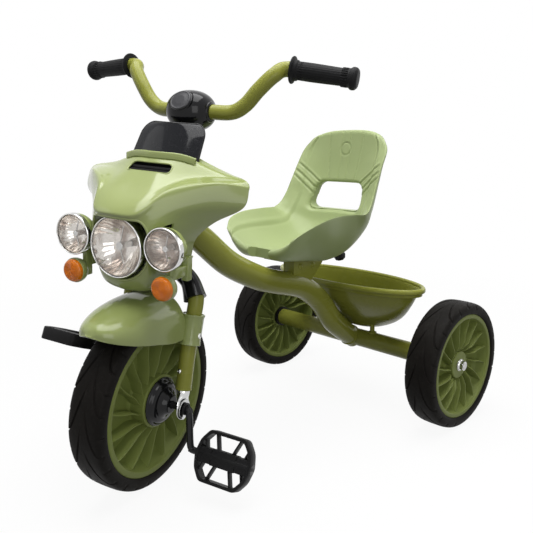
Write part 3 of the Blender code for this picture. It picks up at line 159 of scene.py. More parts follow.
def makeFinish(name, colour, shade, rough, wander, grain, grainScale, coat, ior, metallic=0.0):
    paint = Paint(name, metallic=metallic, coatRoughness=0.05, coatIor=min(ior, 1.4), ior=ior)
    cloud = paint.noise(marks["cloud"])
    speck = paint.noise(marks["speck"])
    mask = cloud.ramp(0.30, 0.75) * 0.7 + speck.ramp(0.45, 0.80) * 0.2
    paint.set("baseColor", paint.blend(mask, colour, shade))
    smear = paint.noise(marks["smear"], 4.0, (1.0, 0.35, 1.6)).ramp(0.40, 0.75)
    paint.set("roughness", rough + wander * smear - wander * 0.25 * speck)
    if coat:
        paint.set("coatWeight", coat * (1.0 - 0.15 * smear))
    paint.bump(paint.noise(grainScale, 2.0), grain)
    if metallic:  # fine brushing
        paint.bump(paint.noise(marks["brush"], 2.0, (0.08, 1.0, 1.0)), grain * 0.8, 0.6)
    return paint


def makeFoam(name):  # black foam tyre: dull skin with fine pores, a little grey dust
    paint = Paint(name, ior=1.14)
    cloud = paint.noise(26.0, 5.0).ramp(0.38, 0.70)
    pores = paint.node("TexVoronoi", None, {"Vector": paint.place, "Scale": 900.0})
    dust = paint.noise(210.0, 4.0).ramp(0.50, 0.72)
    base = paint.blend(cloud, (0.0085, 0.0075, 0.0066), (0.0120, 0.0108, 0.0096))
    paint.set("baseColor", paint.blend(dust * 0.25, base, (0.022, 0.020, 0.018)))
    paint.set("roughness", 0.52 + 0.10 * cloud - 0.06 * dust)
    paint.bump(pores, 0.00012, 0.5)
    paint.bump(paint.noise(120.0, 4.0), 0.00020, 0.5)
    return paint


def makeLens(name, colour, alpha, rough, ripples, coat, ior):
    paint = Paint(name, ior=ior, coatWeight=coat, coatRoughness=0.03, coatIor=ior)
    scuff = paint.noise(160.0, 4.0).ramp(0.45, 0.75)
    paint.set("baseColor", paint.blend(scuff * 0.2, colour, tuple(0.9 * c + 0.015 for c in colour)))
    paint.set("roughness", rough + 0.04 * scuff)
    paint.set("alpha", alpha + 0.04 * scuff)
    paint.bump(paint.noise(70.0, 1.0), ripples)
    return paint


def makeReflector(name):  # bright bowl with a warm cast; its darker streaks are painted shade, standing in for the facets' darker reflections
    paint = Paint(name, metallic=1.0)
    # painted shade: darker streaks in the colour stand in for reflections off the facets
    paintedFacetShade = paint.noise(60.0, 2.0, (1.0, 1.0, 0.25)).ramp(0.40, 0.62)
    paint.set("baseColor", paint.blend(paintedFacetShade, (0.82, 0.78, 0.73), (0.34, 0.28, 0.24)))
    paint.set("roughness", 0.10 + 0.08 * paintedFacetShade)
    paint.bump(paint.noise(260.0, 2.0), 0.00005)
    return paint


finishes = {name: makeFinish(name, *values) for name, values in finishTable.items()}
finishes["tyre_foam"] = makeFoam("tyre_foam")
finishes.update({name: makeLens(name, *values) for name, values in lensTable.items()})
finishes["reflector"] = makeReflector("lamp_reflector")
print("finishes made:", len(finishes))


# shape tools
def around(count):
    return np.linspace(0, 2 * math.pi, count, endpoint=False)


def fade(value, start, over):  # nothing up to start, then a straight rise to 1
    return np.clip((value - start) / over, 0, 1)


def bell(distance, width):
    return np.exp(-(distance / width) ** 2)


def unit(way):
    return way / np.linalg.norm(way)


def curve(points, count):  # a smooth line or surface through rows of numbers, evenly spaced along their index
    return curveAt(points, np.linspace(0, len(points) - 1, count))


def curveAt(points, places):
    rows = np.array(points, float)
    places = np.asarray(places, float)
    index = np.minimum(places.astype(int), len(rows) - 2)
    t = (places - index).reshape(-1, *[1] * (rows.ndim - 1))
    pad = np.concatenate([2 * rows[:1] - rows[1:2], rows, 2 * rows[-1:] - rows[-2:-1]])
    a, b, c, d = (pad[index + k] for k in range(4))
    return 0.5 * (2 * b + (c - a) * t + (2 * a - 5 * b + 4 * c - d) * t**2 + (3 * b - a - 3 * c + d) * t**3)


def even(points, count):  # the same line, its points the same distance apart
    points = np.array(points, float)
    run = np.concatenate([[0.0], np.cumsum(np.linalg.norm(np.diff(points, axis=0), axis=1))])
    places = np.linspace(0, run[-1], count)
    return np.stack([np.interp(places, run, points[:, k]) for k in range(points.shape[1])], 1)


def soften(points, radius, closed=False, steps=4):  # the same line with its corners rounded
    points = [np.array(p, float) for p in points]
    found = []
    for k, p in enumerate(points):
        if not closed and k in (0, len(points) - 1):
            found.append(p)
            continue
        a, b = points[k - 1] - p, points[(k + 1) % len(points)] - p
        farA, farB = np.linalg.norm(a), np.linalg.norm(b)
        cutA, cutB = min(radius, 0.47 * farA), min(radius, 0.47 * farB)
        start, end = p + a / farA * cutA, p + b / farB * cutB
        for step in range(steps + 1):
            t = step / steps
            found.append((1 - t) ** 2 * start + 2 * t * (1 - t) * p + t * t * end)
    return np.array(found)


def skin(rings, joined=True, along=False, caps=True):  # faces over rows of points
    rings = np.asarray(rings, float)
    rows, count = rings.shape[:2]
    faces = []
    for r in range(rows if along else rows - 1):
        for c in range(count if joined else count - 1):
            a, b, d = r * count, (r + 1) % rows * count, (c + 1) % count
            faces.append((a + c, a + d, b + d, b + c))
    if caps and joined and not along:
        faces += [tuple(range(count)), tuple(range((rows - 1) * count, rows * count))]
    return rings.reshape(-1, 3), faces


def shell(outside, inside):  # two matching grids joined along their edges
    outside, inside = np.asarray(outside, float), np.asarray(inside, float)
    rows, count = outside.shape[:2]
    points = np.concatenate([outside.reshape(-1, 3), inside.reshape(-1, 3)])
    _, faces = skin(outside, False)
    faces = faces + [tuple(k + rows * count for k in face) for face in faces]
    edge = [(0, c) for c in range(count - 1)] + [(r, count - 1) for r in range(rows - 1)]
    edge += [(rows - 1, c) for c in range(count - 1, 0, -1)] + [(r, 0) for r in range(rows - 1, 0, -1)]
    ids = [r * count + c for r, c in edge]
    for a, b in zip(ids, ids[1:] + ids[:1]):
        faces.append((a, b, b + rows * count, a + rows * count))
    return points, faces


def circle(radius, sides=32):
    return np.stack([radius * np.cos(around(sides)), radius * np.sin(around(sides))], 1)


def sweep(path, section, closed=False, up=None, scale=None):
    # carries a flat outline along a line of points; up is where the outline's first axis starts out
    path = np.asarray(path, float)
    ahead = np.roll(path, -1, 0) - np.roll(path, 1, 0)
    if not closed:
        ahead[0], ahead[-1] = path[1] - path[0], path[-1] - path[-2]
    ahead /= np.linalg.norm(ahead, axis=1, keepdims=True)
    side = np.array(up if up is not None else Vector(ahead[0]).orthogonal(), float)
    scale = np.ones(len(path)) if scale is None else scale
    section = np.asarray(section, float)
    rings = []
    for point, way, size in zip(path, ahead, scale):
        side = unit(side - way * (side @ way))
        rings.append(point + size * (section[:, :1] * side + section[:, 1:] * np.cross(way, side)))
    return skin(rings, True, closed)


def tube(path, radius, sides=32, rounded=0.0):
    path = np.asarray(path, float)
    scale = None
    if rounded:  # domed ends
        turns = np.linspace(0.15, math.pi / 2, 5)
        reach = rounded * (1 - np.cos(turns))
        shrink = 1 - rounded / radius * (1 - np.sin(turns))
        head, tail = ([at + unit(way) * (far - reach[0]) for far in reach]
                      for at, way in ((path[0], path[1] - path[0]), (path[-1], path[-2] - path[-1])))
        path = np.concatenate([head, path[1:-1], tail[::-1]])
        scale = np.concatenate([shrink, np.ones(len(path) - 10), shrink[::-1]])
    return sweep(path, circle(radius, sides), scale=scale)


def hoop(x, radius, angles):  # a ring round X
    return np.stack(np.broadcast_arrays(x, radius * np.cos(angles), radius * np.sin(angles)), 1)


def turn(profile, sides):  # a profile of (along, radius) turned round X, joined up unless it ends on the axis
    profile = np.array(profile, float)
    closed = min(profile[0][1], profile[-1][1]) > 1e-7
    return skin([hoop(a, r, around(sides)) for a, r in profile], True, closed, False)


def lathe(profile, rounding, sides, at=None, closed=False, steps=4):
    part = turn(soften(profile, rounding, closed, steps), sides)
    return moved(part, at) if at else part


def prism(outline, axis, low, high):
    return skin([np.insert(np.array(outline, float), axis, level, 1) for level in (low, high)])


def box(low, high):
    (x0, y0, z0), (x1, y1, z1) = low, high
    return prism([(x0, y0), (x1, y0), (x1, y1), (x0, y1)], 2, z0, z1)


def moved(part, matrix):
    grid = np.array(matrix)
    return np.array(part[0], float) @ grid[:3, :3].T + grid[:3, 3], part[1]


def mirror(part):
    return np.array(part[0]) * (-1, 1, 1), part[1]


def standing(at, way):  # local X turned along a direction, with the origin at a place
    turned = Vector((1, 0, 0)).rotation_difference(Vector(way).normalized()).to_matrix().to_4x4()
    return Matrix.Translation(Vector(at)) @ turned


def meshOf(name, parts, weld, ahead):  # ahead: drawn with the front end straight, then turned with it
    points, faces, base = [], [], 0
    for part, polygons in parts:
        points.append(np.asarray(part, float))
        faces += [tuple(k + base for k in face) for face in polygons]
        base += len(part)
    mesh = bpy.data.meshes.new(name)
    mesh.from_pydata(np.concatenate(points).tolist(), [], faces)
    bm = bmesh.new()
    bm.from_mesh(mesh)
    bmesh.ops.remove_doubles(bm, verts=bm.verts, dist=weld)
    bmesh.ops.recalc_face_normals(bm, faces=bm.faces)
    if ahead:
        bm.transform(steered)
    bm.to_mesh(mesh)
    bm.free()
    return mesh


def piece(name, finish, body, parts, *stands, bevel=0.0, sharp=35):
    # one visible object from mesh parts, riding on a body in place of its CAD nodes
    made = bpy.data.objects.new(name, meshOf(name, parts, 2e-6, body == "front_end"))
    bpy.context.scene.collection.objects.link(made)
    made.data.materials.append(finishes[finish].material)
    made.data.shade_smooth()
    if bevel:
        step = made.modifiers.new("Bevel", "BEVEL")
        step.width, step.segments, step.limit_method, step.angle_limit = bevel, 3, "ANGLE", math.radians(30)
        step.harden_normals = False
    else:
        made.data.set_sharp_from_angle(angle=math.radians(sharp))
    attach(made, body)
    if stands:
        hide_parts(*stands)
    return made


def cut(made, parts, ahead=False, sharp=35):  # takes parts out of a piece
    for part in parts:
        cutter = bpy.data.objects.new("cutter", meshOf("cutter", [part], 1e-6, ahead))
        bpy.context.scene.collection.objects.link(cutter)
        step = made.modifiers.new("Cut", "BOOLEAN")
        step.operation, step.solver, step.object = "DIFFERENCE", "EXACT", cutter
        graph = bpy.context.evaluated_depsgraph_get()
        mesh = bpy.data.meshes.new_from_object(made.evaluated_get(graph))
        made.modifiers.clear()
        made.data = mesh
        bpy.data.objects.remove(cutter)
    made.data.set_sharp_from_angle(angle=math.radians(sharp))
    return made


# where things are
layout = dict(rake=math.radians(13.5), steer=math.radians(20.5), frontAxle=(-0.2300, 0.1305),
              rearAxle=(0.2515, 0.1090), headOffset=0.0073, pivotHeight=0.2220, halfTrack=0.2150)
sides = ((1, "left"), (-1, "right"))


def front(x, dy, dz):  # from the front axle, with the front end straight ahead
    return np.array((x, layout["frontAxle"][0] + dy, layout["frontAxle"][1] + dz))


def rear(x, dy, dz):  # from the rear axle
    return np.array((x, layout["rearAxle"][0] + dy, layout["rearAxle"][1] + dz))


def onAxis(dz):  # on the steering axis, at a height above the front axle
    return front(0, layout["headOffset"] + dz * math.tan(layout["rake"]), dz)


pivot = Vector(onAxis(layout["pivotHeight"]))
steered = (Matrix.Translation(pivot) @ Matrix.Rotation(-layout["rake"], 4, "X")
           @ Matrix.Rotation(layout["steer"], 4, "Z") @ Matrix.Rotation(layout["rake"], 4, "X")
           @ Matrix.Translation(-pivot))
upAxis = unit(onAxis(1) - onAxis(0))
frontPlace = steered @ Matrix.Translation(front(0, 0, 0))
rearPlace = Matrix.Translation(rear(0, 0, 0))


# frame tubes
frameTube = dict(main=0.0190, fuller=0.09, cross=0.0168, crossHalf=0.1960, head=0.0205, headLow=0.2220,
                 headHigh=0.2880, weld=0.0021, puddles=36, postX=0.0450, post=0.0045, postHigh=0.046,
                 bend=[(0.0, -0.004), (-0.045, 0.029), (-0.070, 0.051), (-0.095, 0.083), (-0.121, 0.107),
                       (-0.158, 0.129), (-0.222, 0.148), (-0.262, 0.163)])


def weldBead(at, way, radius):  # a ring of little overlapping puddles
    angles, t = around(144), around(8)
    ripple = frameTube["weld"] * (1 + 0.16 * np.abs(np.sin(angles * frameTube["puddles"] / 2)))
    rings = []
    for a, size in zip(angles, ripple):
        reach = radius + size * np.sin(t)
        rings.append(np.stack([0.9 * size * np.cos(t), reach * math.cos(a), reach * math.sin(a)], 1))
    return moved(skin(rings, True, True), standing(at, way))


def makeFrameTubes():
    low, high, radius = frameTube["headLow"], frameTube["headHigh"], frameTube["main"]
    join = onAxis((low + high) / 2 - 0.004)
    points = [rear(0, dy, dz) for dy, dz in frameTube["bend"]]
    points += [join + (0, 0.096, -0.079), join + (0, 0.044, -0.034), join]
    path = even(curve(points, 200), 110)
    way, end = path[3] - path[4], path[-4] - path[-3]
    ends = np.clip(np.minimum(np.arange(110), np.arange(110)[::-1]) / 14, 0, 1)
    scale, seam = 1.0 + frameTube["fuller"] * ends, radius - 0.0002  # fuller between its welds
    parts = [sweep(path, circle(radius, 48), scale=scale),
             weldBead(path[3] - 0.002 * unit(way), way, seam), weldBead(path[-5], end, seam)]
    piece("mainTube", "olive_enamel", "frame", parts, "main_tube")

    half, radius = frameTube["crossHalf"], frameTube["cross"]
    line = [(-half, radius - 0.003), (-half, radius), (half, radius), (half, radius - 0.003)]
    piece("crossTube", "olive_enamel", "frame", [lathe(line, 0.0008, 56, rearPlace)], "rear_axle_tube")

    long, radius = np.linalg.norm(onAxis(high) - onAxis(low)), frameTube["head"]
    wide = radius + 0.0007
    line = [(0, 0.014), (0, wide), (0.005, wide), (0.0065, radius), (long - 0.0065, radius),
            (long - 0.005, wide), (long, wide), (long, 0.014)]
    head = lathe(line, 0.0008, 56, standing(onAxis(low), upAxis))
    piece("headTube", "olive_enamel", "frame", [head], "head_tube")
    cup = [(0.0, 0.0118), (0.0, 0.0205), (0.0030, 0.0205), (0.0036, 0.0188), (0.0060, 0.0180), (0.0060, 0.0118)]
    for level, sign, word in ((low, -1, "lower"), (high, 1, "upper")):
        piece("headBearing." + word, "black_plastic", "frame",
              [lathe(cup, 0.0006, 48, standing(onAxis(level), upAxis * sign))], "head_bearing_" + word)

    collar = [(0.0, 0.0), (0.0, 0.0085), (0.0030, 0.0085), (0.0042, 0.0052), (0.0042, 0.0)]
    for side, word in sides:
        x, foot = side * frameTube["postX"], frameTube["cross"]
        post = even([rear(x, 0, foot - 0.004), rear(x, 0, frameTube["postHigh"])], 6)
        parts = [tube(post, frameTube["post"], 24),
                 lathe(collar, 0.0008, 32, standing(rear(x, 0, foot - 0.0016), (0, 0, 1)))]
        piece("basketPost." + word, "olive_enamel", "frame", parts, "basket_post_" + word)


makeFrameTubes()
print("frame tubes made")


# rear axle ends
axleEnd = dict(rod=0.0060, rodEnd=0.2408, washer=0.0105, flange=0.0096, hex=0.0086, low=0.2304, high=0.2392)


def hexNut(size, low, high, bore):
    angles = around(36)
    sixth = math.pi / 6
    flats = size * math.cos(sixth) / np.cos((angles + sixth) % (2 * sixth) - sixth)
    flats = np.minimum(flats, size * 0.985)
    rings = ((low, bore), (low, flats), (high - 0.0012, flats), (high, size * 0.90), (high, bore))
    return skin([hoop(along, far, angles) for along, far in rings], True, False, False)


def makeAxleEnds():
    rod, end, washer, flange, size, low, high = axleEnd.values()
    plate = [(low, rod), (low, washer), (low + 0.0012, washer), (low + 0.0012, rod)]
    skirt = [(low + 0.0012, rod), (low + 0.0012, flange), (low + 0.0022, flange), (low + 0.0035, size),
             (low + 0.0035, rod)]
    face = frameTube["crossHalf"] + 0.0003
    bush = [(face - 0.004, 0.0145), (face, 0.0145), (face, 0.0205), (face + 0.0062, 0.0203),
            (face + 0.0078, 0.0160), (face + 0.0078, 0.0070)]
    for side, word in sides:
        place = rearPlace @ Matrix.Diagonal((side, 1, 1, 1))
        parts = [lathe(plate, 0.0003, 48, place, True), lathe(skirt, 0.0004, 48, place, True),
                 moved(hexNut(size, low + 0.003, high, rod), place)]
        piece("axleNut." + word, "chrome", "frame", parts, "axle_nut_" + word, sharp=25)
        turned = lathe(bush, 0.0009, 48, place)
        piece("tubeBush." + word, "black_plastic", "frame", [turned], "tube_bush_" + word)
    ridges = enumerate(np.linspace(end - 0.0095, end - 0.0012, 21))
    half = [(x, rod - (0.0005 if k % 2 else 0.0)) for k, x in ridges]
    half += [(end - 0.001, rod), (end, rod - 0.0012), (end, 0.0)]
    thread = turn([(-x, r) for x, r in reversed(half)] + half, 40)
    piece("rearAxleRod", "zinc_steel", "frame", [moved(thread, rearPlace)], "rear_axle_rod")


makeAxleEnds()
print("axle ends made")


# wheels
wheelSizes = {
    "front": dict(radius=0.1300, rim=0.1105, width=0.0545, hub=0.0390, hubFace=0.0262, hubBack=0.0262,
                  bore=0.0055, pitches=14, depth=0.0025),
    "rear": dict(radius=0.1090, rim=0.0900, width=0.0540, hub=0.0240, hubFace=0.0150, hubBack=0.0103,
                 bore=0.0066, pitches=12, depth=0.0023),
}
tread = dict(rows=33, groove=0.029, widest=0.130, sweepBack=1.25, profile=[
    (0.80, -0.03), (0.93, 0.02), (0.995, 0.20), (1.0, 0.45), (0.955, 0.72), (0.83, 0.895), (0.60, 0.972),
    (0.30, 0.996), (0.0, 1.0)])  # share of the half width, share of the height above the rim
vane = dict(count=16, rows=15, foot=0.0006, thick=0.0019, slant=math.radians(12), hook=math.radians(11))


def tyreRing(radius, rim, width, pitches, depth, **_):
    half, tall = width / 2, radius - rim
    rows = tread["rows"]
    outline = curve(tread["profile"], rows)
    outline[:, 0] = np.minimum(outline[:, 0], 1.0)
    outline = np.concatenate([outline, outline[-2::-1] * (-1, 1)])
    across = outline[:, 0]  # -1 to 1 over the tread
    pitch = 2 * math.pi / pitches
    far = np.abs(across)
    swept = tread["sweepBack"] * np.clip((0.93 - far) / 0.93, 0, 1) ** 1.7  # how far round, in pitches
    slope = np.abs(np.gradient(swept)) * pitch * radius / (np.abs(np.gradient(across)) * half + 1e-4)
    wide = np.minimum(tread["groove"] * np.sqrt(1 + slope**2), tread["widest"])
    inTread = np.concatenate([np.linspace(0, 1, rows), np.linspace(1, 0, rows)[1:]])
    shoulder = fade(inTread, 0.42, 0.10) * fade(far, 0.10, 0.12)
    dash = fade(inTread, 0.36, 0.06) * np.clip((0.62 - inTread) / 0.06, 0, 1)
    nearSide = np.arange(len(across)) < rows
    columns, depths = [], []
    for start in np.arange(2 * pitches) / 2:  # long and short grooves take turns, swapped over the middle
        long = start % 1 == 0
        cutDepth = np.where(nearSide == long, shoulder, dash)
        for k, deep in ((-1.0, 0.0), (-0.6, 0.75), (0.0, 1.0), (0.6, 0.75), (1.0, 0.0)):
            columns.append(start + k * wide)
            depths.append(depth * deep * cutDepth)
        for k in range(1, 5):
            columns.append(start + wide + (0.5 - 2 * wide) * k / 5)
            depths.append(np.zeros(len(across)))
    depths = np.array(depths)
    angle = (np.array(columns) + swept) * pitch
    ridge = np.sin(np.clip(inTread, 0, 1) * math.pi / 2)

    def wrapped(x, reach):
        return np.stack(np.broadcast_arrays(x, reach * np.sin(angle), reach * np.cos(angle)), 2)

    outer = wrapped(half * across * (1 - depths * (1 - ridge) / half),
                    rim + tall * outline[:, 1] - depths * ridge)
    bed = wrapped(half * 0.78 * across, rim - 0.002)
    return [skin(outer, False, True), skin(bed[:, [0, -1]], False, True)]


def rimParts(rim, width, hub, hubFace, hubBack, bore, **_):
    half, lip = width / 2 - 0.0022, rim * 0.913
    side = [(half - 0.0012, rim), (half, rim - 0.0016), (half, lip + 0.0012), (half - 0.0012, lip),
            (half - 0.0040, lip - 0.0008), (0.0070, lip - 0.0070), (0.0022, lip - 0.0125),
            (0.0016, hub + 0.004), (0.0040, hub)]
    near, far = (side + [(face - 0.0010, hub - 0.0004), (face, hub - 0.0016), (face, bore)]
                 for face in (hubFace, hubBack))
    parts = [lathe(near[::-1] + [(-x, r) for x, r in far], 0.0012, 112, steps=3)]
    inner, high, t = hub - 0.0006, half - 0.0035, np.linspace(0, 1, vane["rows"])
    reach = inner + (rim * 0.916 - inner) * t
    bend = vane["hook"] * (1 - fade(t, 0, 0.32)) ** 2 - vane["slant"] * t
    top = np.minimum(high - 0.0005, hubFace - 0.0045 + (high - hubFace + 0.0045) * fade(t, 0, 0.30) ** 0.7)
    top = top - 0.0022 * fade(t, 0.9, 0.1) ** 2
    low = np.full(vane["rows"], vane["foot"])
    for side in (1, -1):
        for angle in around(vane["count"]):
            middle = reach[:, None] * np.stack([np.cos(bend * side + angle), np.sin(bend * side + angle)], 1)
            ahead = np.gradient(middle, axis=0)
            ahead /= np.linalg.norm(ahead, axis=1, keepdims=True)
            across = np.stack([-ahead[:, 1], ahead[:, 0]], 1) * vane["thick"] / 2
            rings = []
            for share, level in ((-1.25, low), (-1, top - 0.0007), (-0.45, top), (0.45, top), (1, top - 0.0007),
                                 (1.25, low)):
                flat = middle + across * share
                rings.append(np.stack([side * level, flat[:, 0], flat[:, 1]], 1))
            parts.append(skin(np.array(rings).transpose(1, 0, 2)))
    return parts


def makeWheel(kind, place, body, dot="", tail=""):
    for part, finish, made, sharp in (("Tyre", "tyre_foam", tyreRing, 50), ("Rim", "rim_green", rimParts, 40)):
        parts = [moved(p, place) for p in made(**wheelSizes[kind])]
        piece(kind + part + dot, finish, body, parts, kind + "_" + part.lower() + tail, sharp=sharp)


def makeWheels():
    for side, word in sides:
        place = Matrix.Translation(rear(side * layout["halfTrack"], 0, 0)) @ Matrix.Diagonal((side, side, 1, 1))
        makeWheel("rear", place, "rear_wheel_" + word, "." + word, "_" + word)
    makeWheel("front", frontPlace, "front_wheel")
    face = wheelSizes["front"]["hubFace"] + 0.0003
    cap = [(0, 0.0060), (0, 0.0352), (0.0020, 0.0352), (0.0032, 0.0325), (0.0075, 0.0300), (0.0098, 0.0262),
           (0.0104, 0.0225), (0.0118, 0.0205), (0.0145, 0.0170), (0.0190, 0.0138),
           (0.0206, 0.0120), (0.0206, 0.0060)]
    for side, word in sides:
        turned = lathe([(side * (face + x), r) for x, r in cap], 0.0016, 72, frontPlace)
        piece("hubCap." + word, "gloss_black", "front_wheel", [turned], "hub_cap_" + word)


makeWheels()
print("wheels made")


# crank and pedals
pedalSizes = dict(x=0.1350, drop=0.0600, width=0.0880, long=0.0710, thick=0.0180, rim=0.0046, crank=0.0050, reach=0.1770,
                  left=62, right=-23)  # the last two are the pedals' angles


def crankLine():
    elbow, length = 0.0755, pedalSizes["drop"]
    outer = [(elbow - 0.010, 0.0), (elbow - 0.002, -0.0015), (elbow + 0.0005, -0.010),
             (elbow + 0.003, -(length - 0.011)), (elbow + 0.0060, -(length - 0.0015)),
             (elbow + 0.0140, -length), (pedalSizes["reach"], -length)]
    return np.array([(-x, 0.0, -z) for x, z in reversed(outer)] + [(x, 0.0, z) for x, z in outer])


def makePedal(word, side, angle):
    wide, long, thick = (pedalSizes[key] / 2 for key in ("width", "long", "thick"))
    rim = pedalSizes["rim"]
    edge = np.array([(-1, 0), (-0.90, 0.56), (-0.64, 1), (0.64, 1), (0.90, 0.56)]) * (wide, long)
    outer = soften([*edge, *-edge], 0.005, True)
    inner = outer * ((wide - rim) / wide, (long - rim) / long)
    edges = ((inner, -0.92), (outer * 0.985, -1.0), (outer, -0.86), (outer, 0.86), (outer * 0.985, 1.0),
             (inner, 0.92))
    parts = [skin([np.insert(line, 2, thick * level, 1) for line, level in edges], True, True)]
    end = wide * 0.955
    parts.append(lathe([(-end, 0.0054), (-end, 0.0084), (end, 0.0084), (end, 0.0054)], 0.0008, 40))
    slab = soften([(-0.0105, -0.0052), (0.0105, -0.0052), (0.0105, 0.0052), (-0.0105, 0.0052)], 0.0018, True)
    for a, b, grow in ((-0.92, -0.42, 1.0), (-0.40, 0.44, 1.08), (0.46, 0.92, 1.0)):  # plate over the spindle
        for high in (1, -1):
            parts.append(skin([np.insert(slab * grow * (1, 0.62), 0, wide * end, 1) + (0, 0, high * 0.0042)
                               for end in (a, b)]))
    blade = soften([(-0.0012, -thick * 0.62), (0.0012, -thick * 0.62), (0.0012, thick * 0.62),
                    (-0.0012, thick * 0.62)], 0.0006, True, 2)
    for up in (1, -1):
        for lean in (1, -1):
            for foot, head, high in ((0.010, 0.019, long - 0.0035), (0.029, 0.0345, long - 0.0125)):
                line = [(lean * foot, up * 0.0070, 0), (lean * head, up * high, 0)]
                parts.append(sweep(line, blade, up=(1, 0, 0)))
        for k in range(-3, 4):  # teeth along the long edges
            for face in (1, -1):
                x, y = k * 0.0072, up * long
                parts.append(box((x - 0.0017, y - up * 0.0046 - 0.0001, face * thick * 0.8),
                                 (x + 0.0017, y - up * 0.0006 + 0.0001, face * (thick + 0.0001))))
    spindle = Matrix.Translation((side * pedalSizes["x"], 0, -side * pedalSizes["drop"]))
    place = frontPlace @ spindle @ Matrix.Rotation(math.radians(angle), 4, "X")
    body = f"pedal_{word}_body"
    piece("pedal." + word, "black_plastic", body, [moved(p, place) for p in parts], "pedal_" + word, sharp=30)
    cap = [(0.93, 0.0), (0.93, 0.0078), (0.985, 0.0072), (0.985, 0.0)]
    cap = lathe([(side * wide * x, r) for x, r in cap], 0.0010, 32, place)
    piece("pedalCap." + word, "gloss_black", body, [cap])


def makeCrank():
    path = even(curve(crankLine(), 400), 220)
    rod = moved(tube(path, pedalSizes["crank"], 24, 0.001), frontPlace)
    piece("crank", "black_steel", "front_wheel", [rod], "crank")
    collar = [(0.0688, 0.0052), (0.0688, 0.0086), (0.0718, 0.0086), (0.0718, 0.0052)]
    for side, word in sides:
        makePedal(word, side, pedalSizes[word])
        ring = lathe([(side * x, r) for x, r in collar], 0.0007, 36, frontPlace, True)
        piece("crankCollar." + word, "black_plastic", "front_wheel", [ring])


makeCrank()
print("crank and pedals made")


# fork
fork = dict(radius=0.0112, spacing=0.0550, crown=0.1850, cover=0.0136, flare=0.22, plateX=0.0650, eye=0.0148)


def legLine():
    x, (_, y, z) = fork["spacing"], onAxis(fork["crown"])
    high = [(0.0, y, z), (0.013, y, z - 0.001), (0.0275, y - 0.002, z - 0.007), (0.0420, y - 0.004, z - 0.018)]
    low = [(x, 0.0425, 0.150), (x, 0.0330, 0.108), (x + 0.0010, 0.0215, 0.065), (x + 0.0025, 0.0115, 0.022)]
    return np.array(high + [front(*at) for at in low])


def mirrored(half):
    half = np.array(half)
    return np.concatenate([half[:0:-1] * (-1, 1, 1), half])


def makeDropout(side, word):
    # a chrome tube end that is pressed flat into an eye round the crank
    above, foot = legLine()[-2:]
    way, eye, size = unit(foot - above), front(fork["plateX"] - 0.0005, 0, 0), fork["eye"]
    stations = [(foot - way * 0.010, 0.0094, 0.0094), (foot + way * 0.0005, 0.0094, 0.0094),
                (foot * 0.72 + eye * 0.28 + (0.0004, 0, 0), 0.0072, 0.0108),
                (foot * 0.42 + eye * 0.58, 0.0036, 0.0134), (eye + (0, 0.001, 0.004), 0.0023, size),
                (eye - (0, 0, 0.0025), 0.0021, size)]
    t = around(40)
    rings = [np.array(at) + np.stack([a * np.cos(t), b * np.sin(t) * 0.985, b * np.sin(t) * -0.17], 1)
             for *at, a, b in curve([(*at, a, b) for at, a, b in stations], 26)]
    middle, last = stations[-1][0], rings[-1]
    for angle in math.pi / 2 * np.arange(1, 9) / 8.0:  # the eye's round lower end
        shrink = math.cos(angle * 0.98)
        rings.append(middle + (last - middle) * (1.0, shrink, shrink) + (0, 0, -size * math.sin(angle)))
    parts = [skin(rings)]
    x = fork["plateX"]
    for low, high, wide in ((x + 0.0016, x + 0.0030, 0.0128), (x - 0.0032, x - 0.0020, 0.0112)):
        washer = [(low, 0.0055), (low, wide), (high, wide), (high, 0.0055)]
        parts.append(lathe(washer, 0.0004, 48, Matrix.Translation(front(0, 0, 0)), True))
    if side < 0:
        parts = [mirror(p) for p in parts]
    piece("dropout." + word, "chrome", "front_end", parts, "dropout_" + word)


def makeScrew(name, at, way, size):
    head = [(-0.0010, 0.0), (-0.0010, size), (0.0006, size), (0.0016, size * 0.78), (0.0021, size * 0.35),
            (0.0021, 0.0)]
    place = standing(at, way)
    made = piece(name, "chrome", "front_end", [lathe(head, 0.0005, 32, place)])
    wide = 0.0021 * size / 0.0036
    slot = box((0.0012, -wide, -0.0004), (0.0040, wide, 0.0004))
    slots = [moved(slot, place @ Matrix.Rotation(turnBy + 0.3, 4, "X")) for turnBy in (0, math.pi / 2)]
    return cut(made, slots, True)


def makeFork():
    path = even(curve(mirrored(legLine()), 300), 150)
    piece("forkTube", "olive_enamel", "front_end", [tube(path, fork["radius"], 40)], "fork_tube")
    cover = legLine()[:5]
    cover[-1] += (cover[-1] - cover[-2]) * 0.12 - (0.0020, 0.0010, 0)
    flare = 1.0 + fork["flare"] * fade(np.abs(np.linspace(-1, 1, 81)), 0.55, 0.45) ** 1.6
    line = even(curve(mirrored(cover), 200), 81)
    neck = [(-0.004, 0.0), (-0.004, 0.0195), (0.018, 0.0185), (0.0265, 0.0150), (0.0265, 0.0)]
    parts = [sweep(line, circle(fork["cover"], 40), up=(0, 0, 1), scale=flare),
             lathe(neck, 0.003, 48, standing(onAxis(fork["crown"]), upAxis))]
    piece("crownCover", "gloss_black", "front_end", parts, "crown_cover", sharp=50)
    wide = fork["radius"] + 0.0004
    ring = [(-0.0022, 0.0100), (-0.0022, wide), (0.0, wide), (0.0004, 0.0105), (0.0004, 0.0090)]
    above, foot = legLine()[-2:]
    for side, word in sides:
        makeDropout(side, word)
        makeScrew("legScrew." + word, front(side * 0.0537, 0.0062, 0.0505), (-side * 0.25, -0.95, 0.15), 0.0034)
        place = standing(foot * (side, 1, 1), (foot - above) * (side, 1, 1))
        piece("legEnd." + word, "olive_enamel", "front_end", [lathe(ring, 0.0004, 40, place)])


makeFork()
print("fork made")


